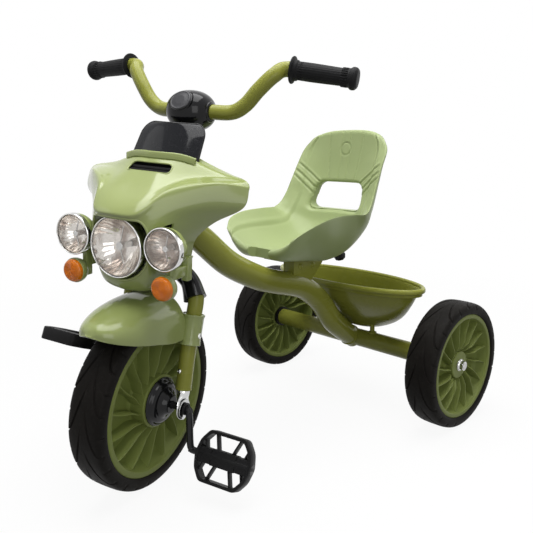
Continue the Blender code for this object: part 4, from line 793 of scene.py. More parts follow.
# mudguard
guard = dict(wall=0.0024, roll=0.0013, sleeve=0.0155, rows=46, columns=61, stations=[
    (0.1150, 0.1294, 0.0040, 0.1285), (0.1080, 0.1390, 0.0200, 0.1240), (0.0920, 0.1450, 0.0340, 0.1180),
    (0.0680, 0.1520, 0.0450, 0.1110), (0.0400, 0.1570, 0.0500, 0.1045), (0.0100, 0.1585, 0.0530, 0.0970),
    (-0.0200, 0.1570, 0.0545, 0.0950)])  # forward of the axle, ridge height, half width, skirt height


def guardGrid(inset=0.0):
    angle = np.linspace(0, math.pi, guard["columns"])
    spread = np.sign(np.cos(angle)) * np.abs(np.cos(angle)) ** 0.84
    arch = np.sin(angle) ** 0.82
    grid = []
    for forward, ridge, half, skirt in curveAt(guard["stations"], 6 * np.linspace(0, 1, guard["rows"]) ** 1.25):
        grid.append(np.stack([-max(half - inset, 0.0006) * spread, np.full(len(angle), -forward + inset * 0.4),
                              skirt + (ridge - inset - skirt) * arch], 1) + front(0, 0, 0))
    return np.array(grid)


def makeMudguard():
    outside, inside = guardGrid(), guardGrid(guard["wall"])
    middle = (outside + inside) / 2
    border = np.concatenate([middle[::-1, 0], middle[0, 1:-1], middle[:, -1]])
    roll, radius = circle(guard["roll"], 10), guard["sleeve"]
    parts = [shell(outside, inside), sweep(even(border, 220), roll), sweep(even(middle[-1], 90), roll)]
    top, bend, low = legLine()[4:7]
    line = even(curve([top + (bend - top) * 0.58, bend, bend + (low - bend) * 0.53], 40), 26)
    t = np.linspace(0, 1, 26)
    size = 1.0 + 0.05 * np.clip((0.10 - t) / 0.06, 0, 1) - 0.02 * t + 0.03 * fade(t, 0.9, 0.06)
    for side, word in sides:
        parts.append(sweep(line * (side, 1, 1), circle(radius, 48), scale=size))
        for end, way in ((0, line[1] - line[0]), (-1, line[-1] - line[-2])):  # rolled ends
            ring = circle(0.0011, 10) + (0, radius * size[end] - 0.0008)
            parts.append(moved(turn(ring, 48), standing(line[end] * (side, 1, 1), way * (side, 1, 1))))
    piece("mudguard", "sage_gloss", "front_end", parts, "fender", sharp=45)
    for side, word in sides:
        at = front(side * (fork["spacing"] + radius - 0.0008), 0.0310, 0.0985)
        screw = makeScrew("guardScrew." + word, at, (side, 0.05, 0.1), 0.0042)
        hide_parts("fender_screw_" + word)


makeMudguard()
print("mudguard made")


# handlebar
bar = dict(radius=0.0105, knuckle=0.4017, stemLow=0.3000, size=(0.0350, 0.0350, 0.0290), badge=0.0158,
           gripStart=front(0.1354, 0.1420, 0.4638), gripEnd=front(0.2223, 0.1550, 0.4553), grip=0.0121,
           flange=0.0185, stop=0.0152, ribs=((0.0705, 0.0788, 0.0011), (0.0112, 0.0168, 0.0007),
                                             (0.0180, 0.0690, 0.00022)))  # where ribs start and end, depth


def makeHandlebar():
    start, middle = bar["gripStart"], onAxis(bar["knuckle"])
    way = unit(bar["gripEnd"] - start)
    half = [middle, middle + (0.030, 0.001, 0.0003), front(0.060, 0.1135, 0.4030), front(0.080, 0.1160, 0.4140),
            front(0.098, 0.1190, 0.4350), front(0.116, 0.1275, 0.4550), *(start + way * far for far in (
                -0.006, 0.045, 0.088))]
    path = even(curve(mirrored(half), 400), 180)
    piece("handlebarTube", "olive_enamel", "front_end", [tube(path, bar["radius"], 40)], "handlebar")

    low = onAxis(bar["stemLow"])
    long = np.linalg.norm(onAxis(bar["knuckle"] - 0.020) - low)
    line = [(0, 0.0115), (0, 0.0198), (0.003, 0.0202), (0.008, 0.0190), (long * 0.6, 0.0188),
            (long - 0.004, 0.0215), (long + 0.004, 0.0225), (long + 0.004, 0.0115)]
    cover = lathe(line, 0.0015, 56, standing(low, upAxis))
    piece("stemCover", "black_plastic", "front_end", [cover], "stem_cover")

    a, b = np.linspace(0, math.pi, 41)[:, None], around(80)
    ball = np.stack(np.broadcast_arrays(np.cos(a), np.sin(a) * np.cos(b), np.sin(a) * np.sin(b)), 2)
    ball = skin(np.sign(ball) * np.abs(ball) ** 0.92 * bar["size"], True, False, False)
    centre = Matrix.Translation(middle)
    made = piece("knuckleCover", "gloss_black", "front_end", [moved(ball, centre)], "handlebar_cover", sharp=45)
    outward, badge = Vector((0, -0.80, 0.60)), bar["badge"]
    dish = Vector(middle) + Vector((0, -0.89, 0.455)).normalized() * 0.0335 - outward * 0.0038
    face = standing(dish, outward)
    disc = turn([(0.0, 0.0), (0.0, badge + 0.0003), (0.02, badge + 0.0003), (0.02, 0.0)], 64)
    groove = turn([(-0.0012, 0.0176), (-0.0012, 0.0190), (0.01, 0.0205), (0.01, 0.0160)], 64)
    cut(made, [moved(disc, face), moved(groove, face)], True)
    dial = [(0.0, 0.0), (0.0, badge), (0.0022, badge), (0.0034, badge - 0.0014), (0.0030, badge - 0.0030),
            (0.0036, 0.0070), (0.0036, 0.0)]
    piece("barBadge", "satin_badge", "front_end", [lathe(dial, 0.0007, 64, face)], "handlebar_badge")
    collar = [(0.0268, 0.0106), (0.0268, 0.0150), (0.0330, 0.0142), (0.0345, 0.0122), (0.0345, 0.0106)]
    for side, word in sides:
        ring = lathe([(side * x, r) for x, r in collar], 0.0010, 48, centre)
        piece("barCollar." + word, "gloss_black", "front_end", [ring])
        makeGrip(word, standing(start * (side, 1, 1), way * (side, 1, 1)))


def makeGrip(word, place):
    # ribbed, with a hand flange inside and a rounded stop outside
    thin, flange, stop = bar["grip"], bar["flange"], bar["stop"]
    inner = soften([(0.0, 0.0108), (0.0, flange - 0.001), (0.0012, flange), (0.0030, flange - 0.0003),
                    (0.0046, thin + 0.0022), (0.0085, thin + 0.0016), (0.0092, thin + 0.0006)], 0.0008, steps=3)
    body = [(x, thin + 0.0004 * math.sin(x * 60)) for x in np.linspace(0.0100, 0.0700, 31)]
    band = [(x, thin + 0.0008) for x in np.linspace(0.0708, 0.0786, 9)]
    tail = soften([(0.0790, thin + 0.0004), (0.0815, thin + 0.0008), (0.0835, stop - 0.0004), (0.0860, stop),
                   (0.0895, stop - 0.0006), (0.0925, stop - 0.0035), (0.0925, 0.0)], 0.0012, steps=3)
    ridged = np.arange(96) // 2 % 2
    rings = []
    for x, r in np.concatenate([inner, body, band, tail]):
        deep = next((deep for low, high, deep in bar["ribs"] if low < x < high), 0.0)
        rings.append(hoop(x, r - deep * ridged, around(96)))
    grip = moved(skin(rings, True, False, False), place)
    piece("grip." + word, "grip_rubber", "front_end", [grip], "grip_" + word, sharp=40)


makeHandlebar()
print("handlebar made")


# lamps' and fairing's sizes
# each fairing row runs from its middle to its wing, in millimetres from the front axle: sideways, back, up
lampSizes = dict(high=0.2321, forward=0.0604, radius=0.0405, deep=0.0420, bulge=0.0070, sideX=0.0714,
                 sideHigh=0.2390, sideRadius=0.0276, sideDeep=0.0300, sideBulge=0.0050, sidePocket=0.0279,
                 amberX=0.0715, amberHigh=0.1895, amberRadius=0.0168, ribs=0.00075, facets=20)
fairing = dict(wall=0.0026, roll=0.0014, blur=1.5, rows=165, columns=69, stations=np.array([
    [(0, -18.5, 168), (18, -17.5, 169), (30, -14, 171), (36, -5, 174), (40, 8, 180)],
    [(0, -50.5, 175), (22, -47, 176), (36, -40, 179), (46, -15, 186), (54, 12.5, 195)],
    [(0, -59, 205), (27, -56, 205), (45, -46, 206), (55, -17, 210), (63, 14, 215)],
    [(0, -62, 235), (30, -59.5, 235), (48, -50, 236), (60, -18, 239), (69, 16, 240)],
    [(0, -65.5, 262), (32, -61, 262), (53, -44, 266), (73.5, -12, 269), (93.5, 21, 264)],
    [(0, -69, 271), (33, -62.5, 272), (56, -38, 285), (93, -2, 289), (128.5, 31.5, 285.5)],
    [(0, -70, 277.5), (34, -62.5, 279.5), (55, -30, 304.5), (98, 7.5, 314), (131.5, 39.5, 309)],
    [(0, -56, 289), (33, -48, 293.5), (55, -16, 311), (98, 15.5, 317.5), (130.5, 42, 313)],
    [(0, -27, 305), (33, -20, 310), (58, 2, 316.5), (96, 24.5, 319.5), (128, 43.5, 316.5)],
    [(0, 0.5, 324), (30, 3, 324.5), (60, 16, 322.5), (88, 31.5, 321.5), (122, 46.5, 319.5)],
    [(0, 25, 342.5), (32, 28, 342), (58, 33, 335), (84, 41, 327), (113, 50.5, 321.5)],
    [(0, 50, 348), (35, 50, 346), (60, 51.5, 337), (80, 53.5, 329.5), (100, 56, 323)]]) / 1000)
vent = dict(at=(0.0072, 0.3287), tilt=math.radians(37), outline=[
    (-0.0345, -0.0092), (0.0345, -0.0092), (0.0325, 0.0092), (-0.0325, 0.0092)])


def fairingGrid(inset=0.0):
    # the brow is a fold between the face below and the hood above, then rounded by a short blur
    rows, columns, stations = fairing["rows"], fairing["columns"], fairing["stations"]
    places, count = np.linspace(0, 11, rows), (columns + 1) // 2
    low, high = curveAt(stations[:6], np.minimum(places, 5)), curveAt(stations[5:], np.maximum(places - 5, 0))
    folded, flowing = (np.array([curve(line, count) for line in lines]) for lines in (
        np.where((places <= 5)[:, None, None], low, high), curveAt(stations, places)))
    outward = fade(np.linspace(0, 1, count), 0.34, 0.22)[None, :, None]
    half = folded * (1 - outward) + flowing * outward  # the fold fades away towards the wings
    grid = np.concatenate([half[:, :0:-1] * (-1, 1, 1), half], 1)
    kernel = np.exp(-0.5 * (np.arange(-8, 9) / fairing["blur"]) ** 2)
    kernel /= kernel.sum()
    head, tail = grid[:1] + (grid[:1] - grid[8:0:-1]), grid[-1:] + (grid[-1:] - grid[-2:-10:-1])
    pad = np.concatenate([head, grid, tail])
    grid = sum(weight * pad[k:k + rows] for k, weight in enumerate(kernel))
    across = grid.copy()  # a light blur from side to side too
    shares = enumerate((1, 2, 3, 2, 1))
    across[:, 2:-2] = sum(share * grid[:, k:k + columns - 4] for k, share in shares) / 9
    normal = np.cross(np.gradient(across, axis=1), np.gradient(across, axis=0))
    normal /= np.linalg.norm(normal, axis=2, keepdims=True)
    inward = np.sign(np.sum(normal * (np.array((0, 0.03, 0.24)) - across), axis=2, keepdims=True))
    return across + normal * inward * inset + front(0, 0, 0)


def onSkin(tree, origin, way):
    hit = tree.ray_cast(Vector(origin), Vector(way))[0]
    return np.array(hit if hit else origin)


def lampMouth():  # the opening round the headlamp: square under the brow, round below
    top = [(0.0, 0.2706), (0.020, 0.2704), (0.036, 0.2700), (0.0436, 0.2560), (0.0446, 0.2400)]
    low = [(0.0446 * math.cos(a), lampSizes["high"] + 0.0446 * math.sin(a)) for a in np.radians(
        np.linspace(-4, -90, 15))]
    half = np.concatenate([soften(top, 0.006), low])
    return np.concatenate([half, half[-2:0:-1] * (-1, 1)])


def ringRoll(line, count, radius, sides, lift=0, up=None):  # a round bead along a closed line
    path = even([*line, line[0]], count)[:-1] + lift
    return sweep(path, circle(radius, sides), closed=True, up=up)


def makeFairing():
    outside, inside = fairingGrid(), fairingGrid(fairing["wall"])
    points, faces = skin(outside, False)
    tree = BVHTree.FromPolygons(points.tolist(), faces)
    made = piece("fairingShell", "sage_gloss", "front_end", [shell(outside, inside)], "fairing")
    start = np.array([front(x, -0.12, z) for x, z in lampMouth()])
    cuts = [skin([start, start + (0, 0.108, 0)])]
    reach = lampSizes["sidePocket"]
    for side, _ in sides:
        at = front(side * lampSizes["sideX"], -lampSizes["forward"] + 0.0015, lampSizes["sideHigh"])
        pocket = turn([(-0.02, 0), (-0.02, reach), (0.0320, reach), (0.0320, 0)], 56)
        cuts.append(moved(pocket, standing(at, (0, 1, 0))))
    tilt = Matrix.Translation(front(0, *vent["at"])) @ Matrix.Rotation(vent["tilt"], 4, "X")
    slot = soften(vent["outline"], 0.0075, True, 6)
    cuts.append(moved(prism(slot, 2, -0.02, 0.02), tilt))
    cut(made, cuts, True)

    edge = np.array([onSkin(tree, p, (0, 1, 0)) for p in start])
    down = np.array(tilt.to_3x3() @ Vector((0, 0, -1)))
    lip = [onSkin(tree, np.array(tilt @ Vector((x, y, 0.03))), down) for x, y in slot]
    middle = (outside + inside) / 2
    border = np.concatenate([middle[:, -1], middle[-1, -2:0:-1], middle[::-1, 0], middle[0, 1:-1]])
    parts = [ringRoll(edge, 161, 0.0017, 12, lift=(0, 0.0006, 0), up=(0, 1, 0)),
             ringRoll(lip, 101, 0.0012, 10, lift=down * 0.0004, up=-down),
             ringRoll(border, 421, fairing["roll"], 10)]
    piece("fairingEdges", "sage_gloss", "front_end", parts, sharp=60)

    centre = front(0, -0.0240, lampSizes["high"])
    rings = [(edge + (0, 0.0012, 0)) * (1 - 0.06 * share, 1 - share, 1) + (0, share * centre[1], 0)
             for share in np.linspace(0, 1, 6)]  # the well behind the mouth
    outer = np.array(rings + [centre + (rings[-1] - centre) * 0.86])
    grow = outer + (outer - centre) * (0.02, 0, 0.02)
    piece("lampWell", "sage_gloss", "front_end", [skin(np.concatenate([outer, grow[::-1]]), True, True)])
    makeVent(tilt, slot)
    makeScreen(tree)
    makeLiner(outside)


def makeVent(tilt, slot):  # a black tray in the slot with two slanting louvres
    levels = ((0.99, -0.0010), (0.985, -0.0080), (0.0, -0.0080), (0.0, -0.0095), (1.03, -0.0095),
              (1.03, -0.0022))
    parts = [skin([np.insert(slot * size, 2, level, 1) for size, level in levels], True, True)]
    blade = [(-0.0019, -0.0045), (0.0013, -0.0030), (0.0020, -0.0036), (-0.0012, -0.0062)]
    blade = soften(blade, 0.0004, True, 2)
    for high in (-0.0032, 0.0030):
        parts.append(sweep([(x, high, 0.0) for x in np.linspace(-0.0325, 0.0325, 9)], blade, up=(0, 1, 0)))
    piece("ventGrille", "black_plastic", "front_end", [moved(p, tilt) for p in parts], "vent_grille")


def screenPoint(s, t):
    half = 0.0548 - 0.0043 * t
    if t > 0.70:
        half -= 0.0165 * (1 - math.sqrt(max(0.0, 1 - ((t - 0.70) / 0.30) ** 2)))
    return front(s * half, 0.0225 + 0.0095 * s * s + (0.0345 - 0.001 * s * s) * t, 0.3270 + 0.0580 * t)


def makeScreen(tree):  # the stepped ledge that the screen stands in, then the screen
    feet = [screenPoint(s, 0.0) + (0, 0.0020, 0) for s in np.linspace(-0.985, 0.985, 61)]
    line = even([onSkin(tree, (at[0], at[1], 0.60), (0, 0, -1)) for at in feet], 60)
    section = [(-0.0030, 0.0062), (0.0062, 0.0046), (0.0062, 0.0006), (-0.0030, -0.0056)]
    section = soften(section, 0.0018, True, 3)
    piece("screenLedge", "sage_gloss", "front_end", [sweep(line, section, up=(0, 0, 1))])
    rows = np.concatenate([np.linspace(0.06, 0.68, 16), 0.70 + 0.30 * np.sin(np.linspace(0, math.pi / 2, 14))])
    outside = np.array([[screenPoint(s, t) for s in np.linspace(-1, 1, 49)] for t in rows])
    piece("windscreen", "smoked_screen", "front_end", [shell(outside, outside + (0, 0.0022, 0))], "windscreen",
          bevel=0.0007)
    edge = np.concatenate([outside[:, 0], outside[-1, 1:-1], outside[::-1, -1]]) + (0, 0.0011, 0)
    piece("screenEdge", "gloss_black", "front_end", [sweep(even(edge, 160), circle(0.0013, 10))])


def makeLiner(outside):  # black inner panel that closes the back of the fairing, with raised ribs
    t = np.linspace(-1, 1, 41)
    face, back = [], []
    for x, y, z in outside[33::3, -1]:
        line = np.stack([t * (x - 0.0042), y + 0.0004 + 0.0040 * (1 - t * t), np.full(len(t), z)], 1)
        rib = 0.0012 * np.clip(np.cos((z - 0.36) * 520) * 2 - 1, 0, 1) * np.clip((0.82 - np.abs(t)) * 12, 0, 1)
        face.append(line)
        back.append(line + np.stack([0 * t, 0.0032 + rib, 0 * t], 1))
    piece("fairingLiner", "black_plastic", "front_end", [shell(face, back)], "fairing_liner", sharp=50)


# lamps
def lensDome(radius, bulge):
    # a shallow dome with a ring of moulded prisms and fine upright flutes across the middle
    ribs, angles = lampSizes["ribs"], around(144)
    rings = []
    for share in (0.02, *np.linspace(0.08, 0.60, 14), *np.linspace(0.62, 0.94, 18), 0.97, 1.0):
        far, outer = radius * share, 0.64 < share < 0.93
        along = -0.0010 if share > 0.98 else -0.0022 - bulge * (1 - share**2.2)
        prisms = ribs * (np.abs(((angles * 30 / math.pi) % 1.0) - 0.5) * 2) * outer
        steps = ribs * 0.8 * (math.floor((share - 0.62) / 0.075) % 2) * outer
        fluted = (np.abs(far * np.sin(angles)) < 0.16 * radius) & (np.cos(far * np.cos(angles) * 3400) > 0)
        rings.append(hoop(along - prisms - steps - ribs * 0.7 * fluted * (share < 0.60), far, angles))
    return skin(rings + [hoop(0.0, radius * 0.995, angles), hoop(0.0, 0.02 * radius, angles)])


def bowl(radius, depth):
    angles = around(lampSizes["facets"] * 8)
    wave = 0.018 * np.abs(np.cos(angles * lampSizes["facets"] / 2))
    rings = []
    for share in np.linspace(0, 1, 22):
        facet = 1 + wave * min(1.0, 4 * (1 - share)) * min(1, share * 6)
        rings.append(hoop(depth * share, (radius * (1 - share) ** 0.5 + 0.0045 * share) * facet, angles))
    rings.append(hoop(depth + 0.001, 0.0002, angles))
    return skin(rings + [ring + (0.0012, 0, 0) for ring in rings[::-1]], True, True)


def makeClearLamp(name, node, x, shellFinish, *keys):
    high, radius, depth, bulge = (lampSizes[key] for key in keys)
    at = standing(front(x, -lampSizes["forward"], high), (0, 1, 0))
    inner = radius - 0.0020
    bezel = [(-0.0026, inner), (-0.0032, radius - 0.0012), (-0.0022, radius), (0.0050, radius), (0.0050, inner),
             (-0.0010, inner)]
    piece(name + "Bezel", "chrome", "front_end", [lathe(bezel, 0.0010, 96, at, True)])
    back = soften([(0.0008, radius - 0.0012), (0.0008, radius), (depth * 0.45, radius * 0.94),
                   (depth * 0.85, radius * 0.66), (depth, radius * 0.40), (depth, 0.0)], 0.008, steps=6)
    back = [*back, (depth - 0.002, 0.0), (depth - 0.002, radius * 0.38), (0.0012, radius - 0.0022)]
    piece(name + "Shell", shellFinish, "front_end", [moved(turn(back, 96), at)], node + "_housing")
    cup = moved(bowl(inner - 0.0006, depth * 0.66), at)
    piece(name + "Reflector", "reflector", "front_end", [cup], sharp=12)
    bulb = [(depth * 0.64, 0.0040), (depth * 0.30, 0.0042), (depth * 0.20, 0.0036), (depth * 0.16, 0.0)]
    shield = [(depth * 0.12, 0.0), (depth * 0.12, radius * 0.13), (depth * 0.22, radius * 0.15),
              (depth * 0.22, radius * 0.12), (depth * 0.16, 0.0)]
    legs = [tube([(depth * 0.20, 0, s * radius * 0.13), (depth * 0.34, 0, s * radius * 0.62)], 0.0009, 8)
            for s in (1, -1)]
    parts = [lathe(bulb, 0.002, 32, at), lathe(shield, 0.0008, 40, at), *(moved(leg, at) for leg in legs)]
    piece(name + "Bulb", "chrome", "front_end", parts)
    lens = moved(lensDome(inner + 0.0002, bulge), at)
    piece(name + "Lens", "clear_lens", "front_end", [lens], node + "_lens", sharp=14)


def makeAmber(side, word):
    radius = lampSizes["amberRadius"]
    at = standing(front(side * lampSizes["amberX"], -lampSizes["forward"], lampSizes["amberHigh"]), (0, 1, 0))
    pod = soften([(0.0, radius - 0.0022), (0.0, radius), (0.0060, radius), (0.0118, radius * 0.86),
                  (0.0160, radius * 0.50), (0.0160, 0.0)], 0.004, steps=5)
    pod = moved(turn([*pod, (0.0140, 0.0), (0.0014, radius - 0.0022)], 64), at)
    piece("amberPod." + word, "sage_gloss", "front_end", [pod], "indicator_" + word + "_housing")
    dome = even(soften([(0.0006, radius - 0.0012), (-0.0036, radius - 0.0016), (-0.0066, radius * 0.72),
                        (-0.0070, 0.0)], 0.0042, steps=7), 60)
    dome = [(x - 0.00022 * (k % 2) * (r < radius * 0.70), r) for k, (x, r) in enumerate(dome)]  # fine rings
    dome = moved(turn(dome + [(0.0006, 0.0)], 72), at)
    piece("amberLens." + word, "amber_lens", "front_end", [dome], "indicator_" + word + "_lens", sharp=60)


armBlocks = dict(  # from corner to corner: those on both sides, then those in the middle
    side=[((0.0622, -0.0065, 0.1865), (0.0722, 0.0045, 0.2185)),
          ((0.0630, -0.0030, 0.2165), (0.0725, 0.0060, 0.2195)),
          ((0.0632, -0.0340, 0.1935), (0.0704, -0.0040, 0.2080)),
          ((0.0640, -0.0445, 0.1800), (0.0715, -0.0330, 0.2260)),
          ((0.0105, -0.0045, 0.1950), (0.0640, 0.0010, 0.2070))],
    middle=[((-0.0180, 0.0300, 0.1915), (0.0180, 0.0358, 0.2105)),
            ((-0.0110, -0.0180, 0.1960), (0.0110, 0.0330, 0.2310)),
            ((-0.0080, 0.0340, 0.1930), (0.0080, 0.0500, 0.2000))])


def makeLampArms():
    arms, middle = ([box(front(*low), front(*high)) for low, high in armBlocks[key]]
                    for key in ("side", "middle"))
    parts = arms + [mirror(arm) for arm in arms] + middle
    piece("lampArms", "sage_gloss", "front_end", parts, "lamp_bracket", bevel=0.0013)


makeFairing()
print("fairing made")
makeClearLamp("headLamp", "headlamp", 0.0, "chrome", "high", "radius", "deep", "bulge")
for side, word in sides:
    makeClearLamp("sideLamp." + word, "side_lamp_" + word, side * lampSizes["sideX"], "sage_gloss",
                  "sideHigh", "sideRadius", "sideDeep", "sideBulge")
    makeAmber(side, word)
makeLampArms()
print("lamps made")


# seat; its stations run from the front edge to the top of the back, in millimetres from the rear axle
seat = dict(datum=-0.1500, level=0.1790, slope=0.118, window=0.0175, holeEdge=0.0075, roundAt=0.86, ends=0.011,
            plane=(-0.252, -0.220, -0.180, -0.135),
            upper=[(-256, 208), (-225, 203), (-180, 198), (-135, 197), (-98, 206), (-75, 228),
                   (-64, 255), (-52, 281), (-45, 305), (-38, 331), (-31, 368), (-26, 398.5)],
            under=[(-90, 188), (-58, 219), (-47, 251), (-37, 279), (-30, 304), (-23, 331),
                   (-18, 368), (-16, 395.5)],
            lip=[(82, -252, 235), (96, -231, 250), (98, -200, 258.5), (93, -160, 261), (96, -128, 260),
                 (104, -113, 260), (103, -99, 268), (100.5, -86, 286), (99, -76, 305), (96.5, -60, 336),
                 (94, -43, 364), (78, -33, 385)],
            creases=(((0.0490, 0.3045), (0.0960, 0.3400)), ((0.0535, 0.2925), (0.0985, 0.3290)),
                     ((0.0550, 0.2810), (0.1000, 0.3200))),
            notch=[(-0.026, -0.32), (0.026, -0.32), (0.0245, -0.237), (-0.0245, -0.237)])
seatMount = dict(level=0.0040, thick=0.0026, nose=-0.032, tail=0.042, half=0.0125, slot=0.0050,
                 bolts=((-0.134, -0.0120), (-0.166, -0.0145)))


def seatPlane(dy):
    return seat["level"] - seat["slope"] * (dy - seat["datum"])


def underSeat(corners, low, high):  # a slab drawn from the side: along, and up from the seat's plane
    return prism([rear(0, dy, seatPlane(dy) + up)[1:] for dy, up in corners], 0, low, high)


def roundOff(distance, radius):
    return np.sqrt(np.clip(1 - np.clip(1 - distance / radius, 0, 1) ** 2, 0, 1))


def seatDetail(x, z, s, row):
    # height of the moulded lines over the upper face: below zero is a groove
    high = np.zeros_like(x)
    back, x = fade(row, 7.9, 0.25), np.abs(x)
    for base, lean in ((0.0090, 0.0), (0.0310, 0.105)):
        high -= back * 0.0011 * bell(x - base - lean * (z - 0.315), 0.0010)
    ring = np.hypot(x, z - 0.3636)
    high -= back * 0.0012 * bell(ring - 0.0112, 0.0010)
    high = high * (1 - back * np.clip((0.0095 - ring) / 0.002, 0, 1))
    for start, end in seat["creases"]:
        way = np.array(end) - start
        long = np.hypot(*way)
        way /= long
        along = (x - start[0]) * way[0] + (z - start[1]) * way[1]
        off = -(x - start[0]) * way[1] + (z - start[1]) * way[0]
        ends = np.clip(along / 0.004 + 1, 0, 1) * np.clip((long - along) / 0.006, 0, 1)
        high += fade(row, 6.4, 0.3) * ends * (0.0007 * bell(off - 0.0034, 0.0016) - 0.0016 * bell(off, 0.0013))
    far = np.abs(s) - np.interp(row, [0, 3, 5.4, 7, 9.5, 11], [0.86, 0.84, 0.80, 0.80, 0.86, 0.86])
    high += 0.0013 * bell(far, 0.035) - 0.0006 * bell(far + 0.065, 0.022)
    pan = np.clip(1 - np.abs(row - 2.2) / 1.9, 0, 1)
    return high + 0.0024 * pan * bell(x, 0.012) - 0.0014 * pan * bell(x - 0.036, 0.018)


def makeSeat():
    upper, under, lip = (np.array(seat[key]) / 1000 for key in ("upper", "under", "lip"))
    table = np.hstack([upper, np.vstack([[(dy, seatPlane(dy)) for dy in seat["plane"]], under]), lip])
    places = np.concatenate([  # closest together at both ends, where the edge is rounded
        [0, 0.008, 0.025, 0.05, 0.085, 0.13, 0.18, 0.24], np.linspace(0.3, 5.0, 62),
        np.linspace(5.05, 10.6, 128), [10.68, 10.76, 10.83, 10.89, 10.94, 10.975, 10.993, 11.0]])
    s = np.sin(np.linspace(-1, 1, 157) * math.pi / 2 * 0.86) / math.sin(math.pi / 2 * 0.86)
    rim = 1 - 0.0004 * np.arange(2, -1, -1) ** 2 * 2
    s = np.concatenate([-rim[::-1], s[np.abs(s) < 0.992], rim])
    uy, uz, by, bz, lx, ly, lz = (column[:, None] for column in curveAt(table, places).T)
    share = np.abs(s) ** 2.6
    top = np.stack(np.broadcast_arrays(s * lx, uy + (ly - uy) * share, uz + (lz - uz) * share), 2)
    rise = fade(np.abs(s), 0.40, 0.60) ** 2.2
    low = np.stack(np.broadcast_arrays(s * (lx + 0.004), by + (ly + 0.007 - by) * rise,
                                       bz + (lz - 0.003 - bz) * rise), 2)
    normal = np.cross(np.gradient(top, axis=1), np.gradient(top, axis=0))
    normal /= np.linalg.norm(normal, axis=2, keepdims=True) + 1e-12
    normal *= np.sign(np.sum(normal * (top - low), axis=2, keepdims=True))
    row = np.broadcast_to(places[:, None], top.shape[:2])
    detail = seatDetail(top[..., 0], top[..., 2], np.broadcast_to(s, row.shape), row)
    top = top + normal * detail[..., None]
    middle = (top + low) / 2

    far = fade(np.abs(s), seat["roundAt"], 1 - seat["roundAt"])
    run = np.concatenate([[0], np.cumsum(np.linalg.norm(np.diff(top[:, len(s) // 2], axis=0), axis=1))])
    ends = roundOff(run, seat["ends"]) * roundOff(run[-1] - run, seat["ends"] * 0.7)
    keep = np.sqrt(1 - far**2) * ends[:, None]
    outline = soften([(-0.0612, 0.2560), (0.0612, 0.2560), (0.0510, 0.3040), (-0.0510, 0.3040)],
                     seat["window"], True, 8)  # the hand hole in the back: x and height
    flat, distance = top[..., [0, 2]], np.full(row.shape, 1.0)
    for a, b in zip(outline, np.roll(outline, -1, 0)):
        way = b - a
        t = np.clip(((flat - a) @ way) / (way @ way + 1e-12), 0, 1)
        distance = np.minimum(distance, np.linalg.norm(flat - a - t[..., None] * way, axis=2))
    near = (row > 5.2) & (distance < seat["holeEdge"])
    keep = (keep * np.where(near, 0.22 + 0.78 * roundOff(distance, seat["holeEdge"]), 1.0))[..., None]
    origin = rear(0, 0, 0)
    made = piece("seat", "sage_satin", "seat_carriage",
                 [shell(*(middle + (face - middle) * keep + origin for face in (top, low)))], "seat", sharp=50)
    hole, notch = ((points + origin, faces) for points, faces in (
        prism(outline, 1, -0.16, 0.08), prism(soften(seat["notch"], 0.004, True), 2, 0.150, 0.245)))
    pocket = ((-0.221, 0.0006), (-0.134, 0.0006), (-0.134, -0.030), (-0.221, -0.030))  # for the rail
    cut(made, [hole, notch, underSeat(pocket, -0.0223, 0.0223)], sharp=55)


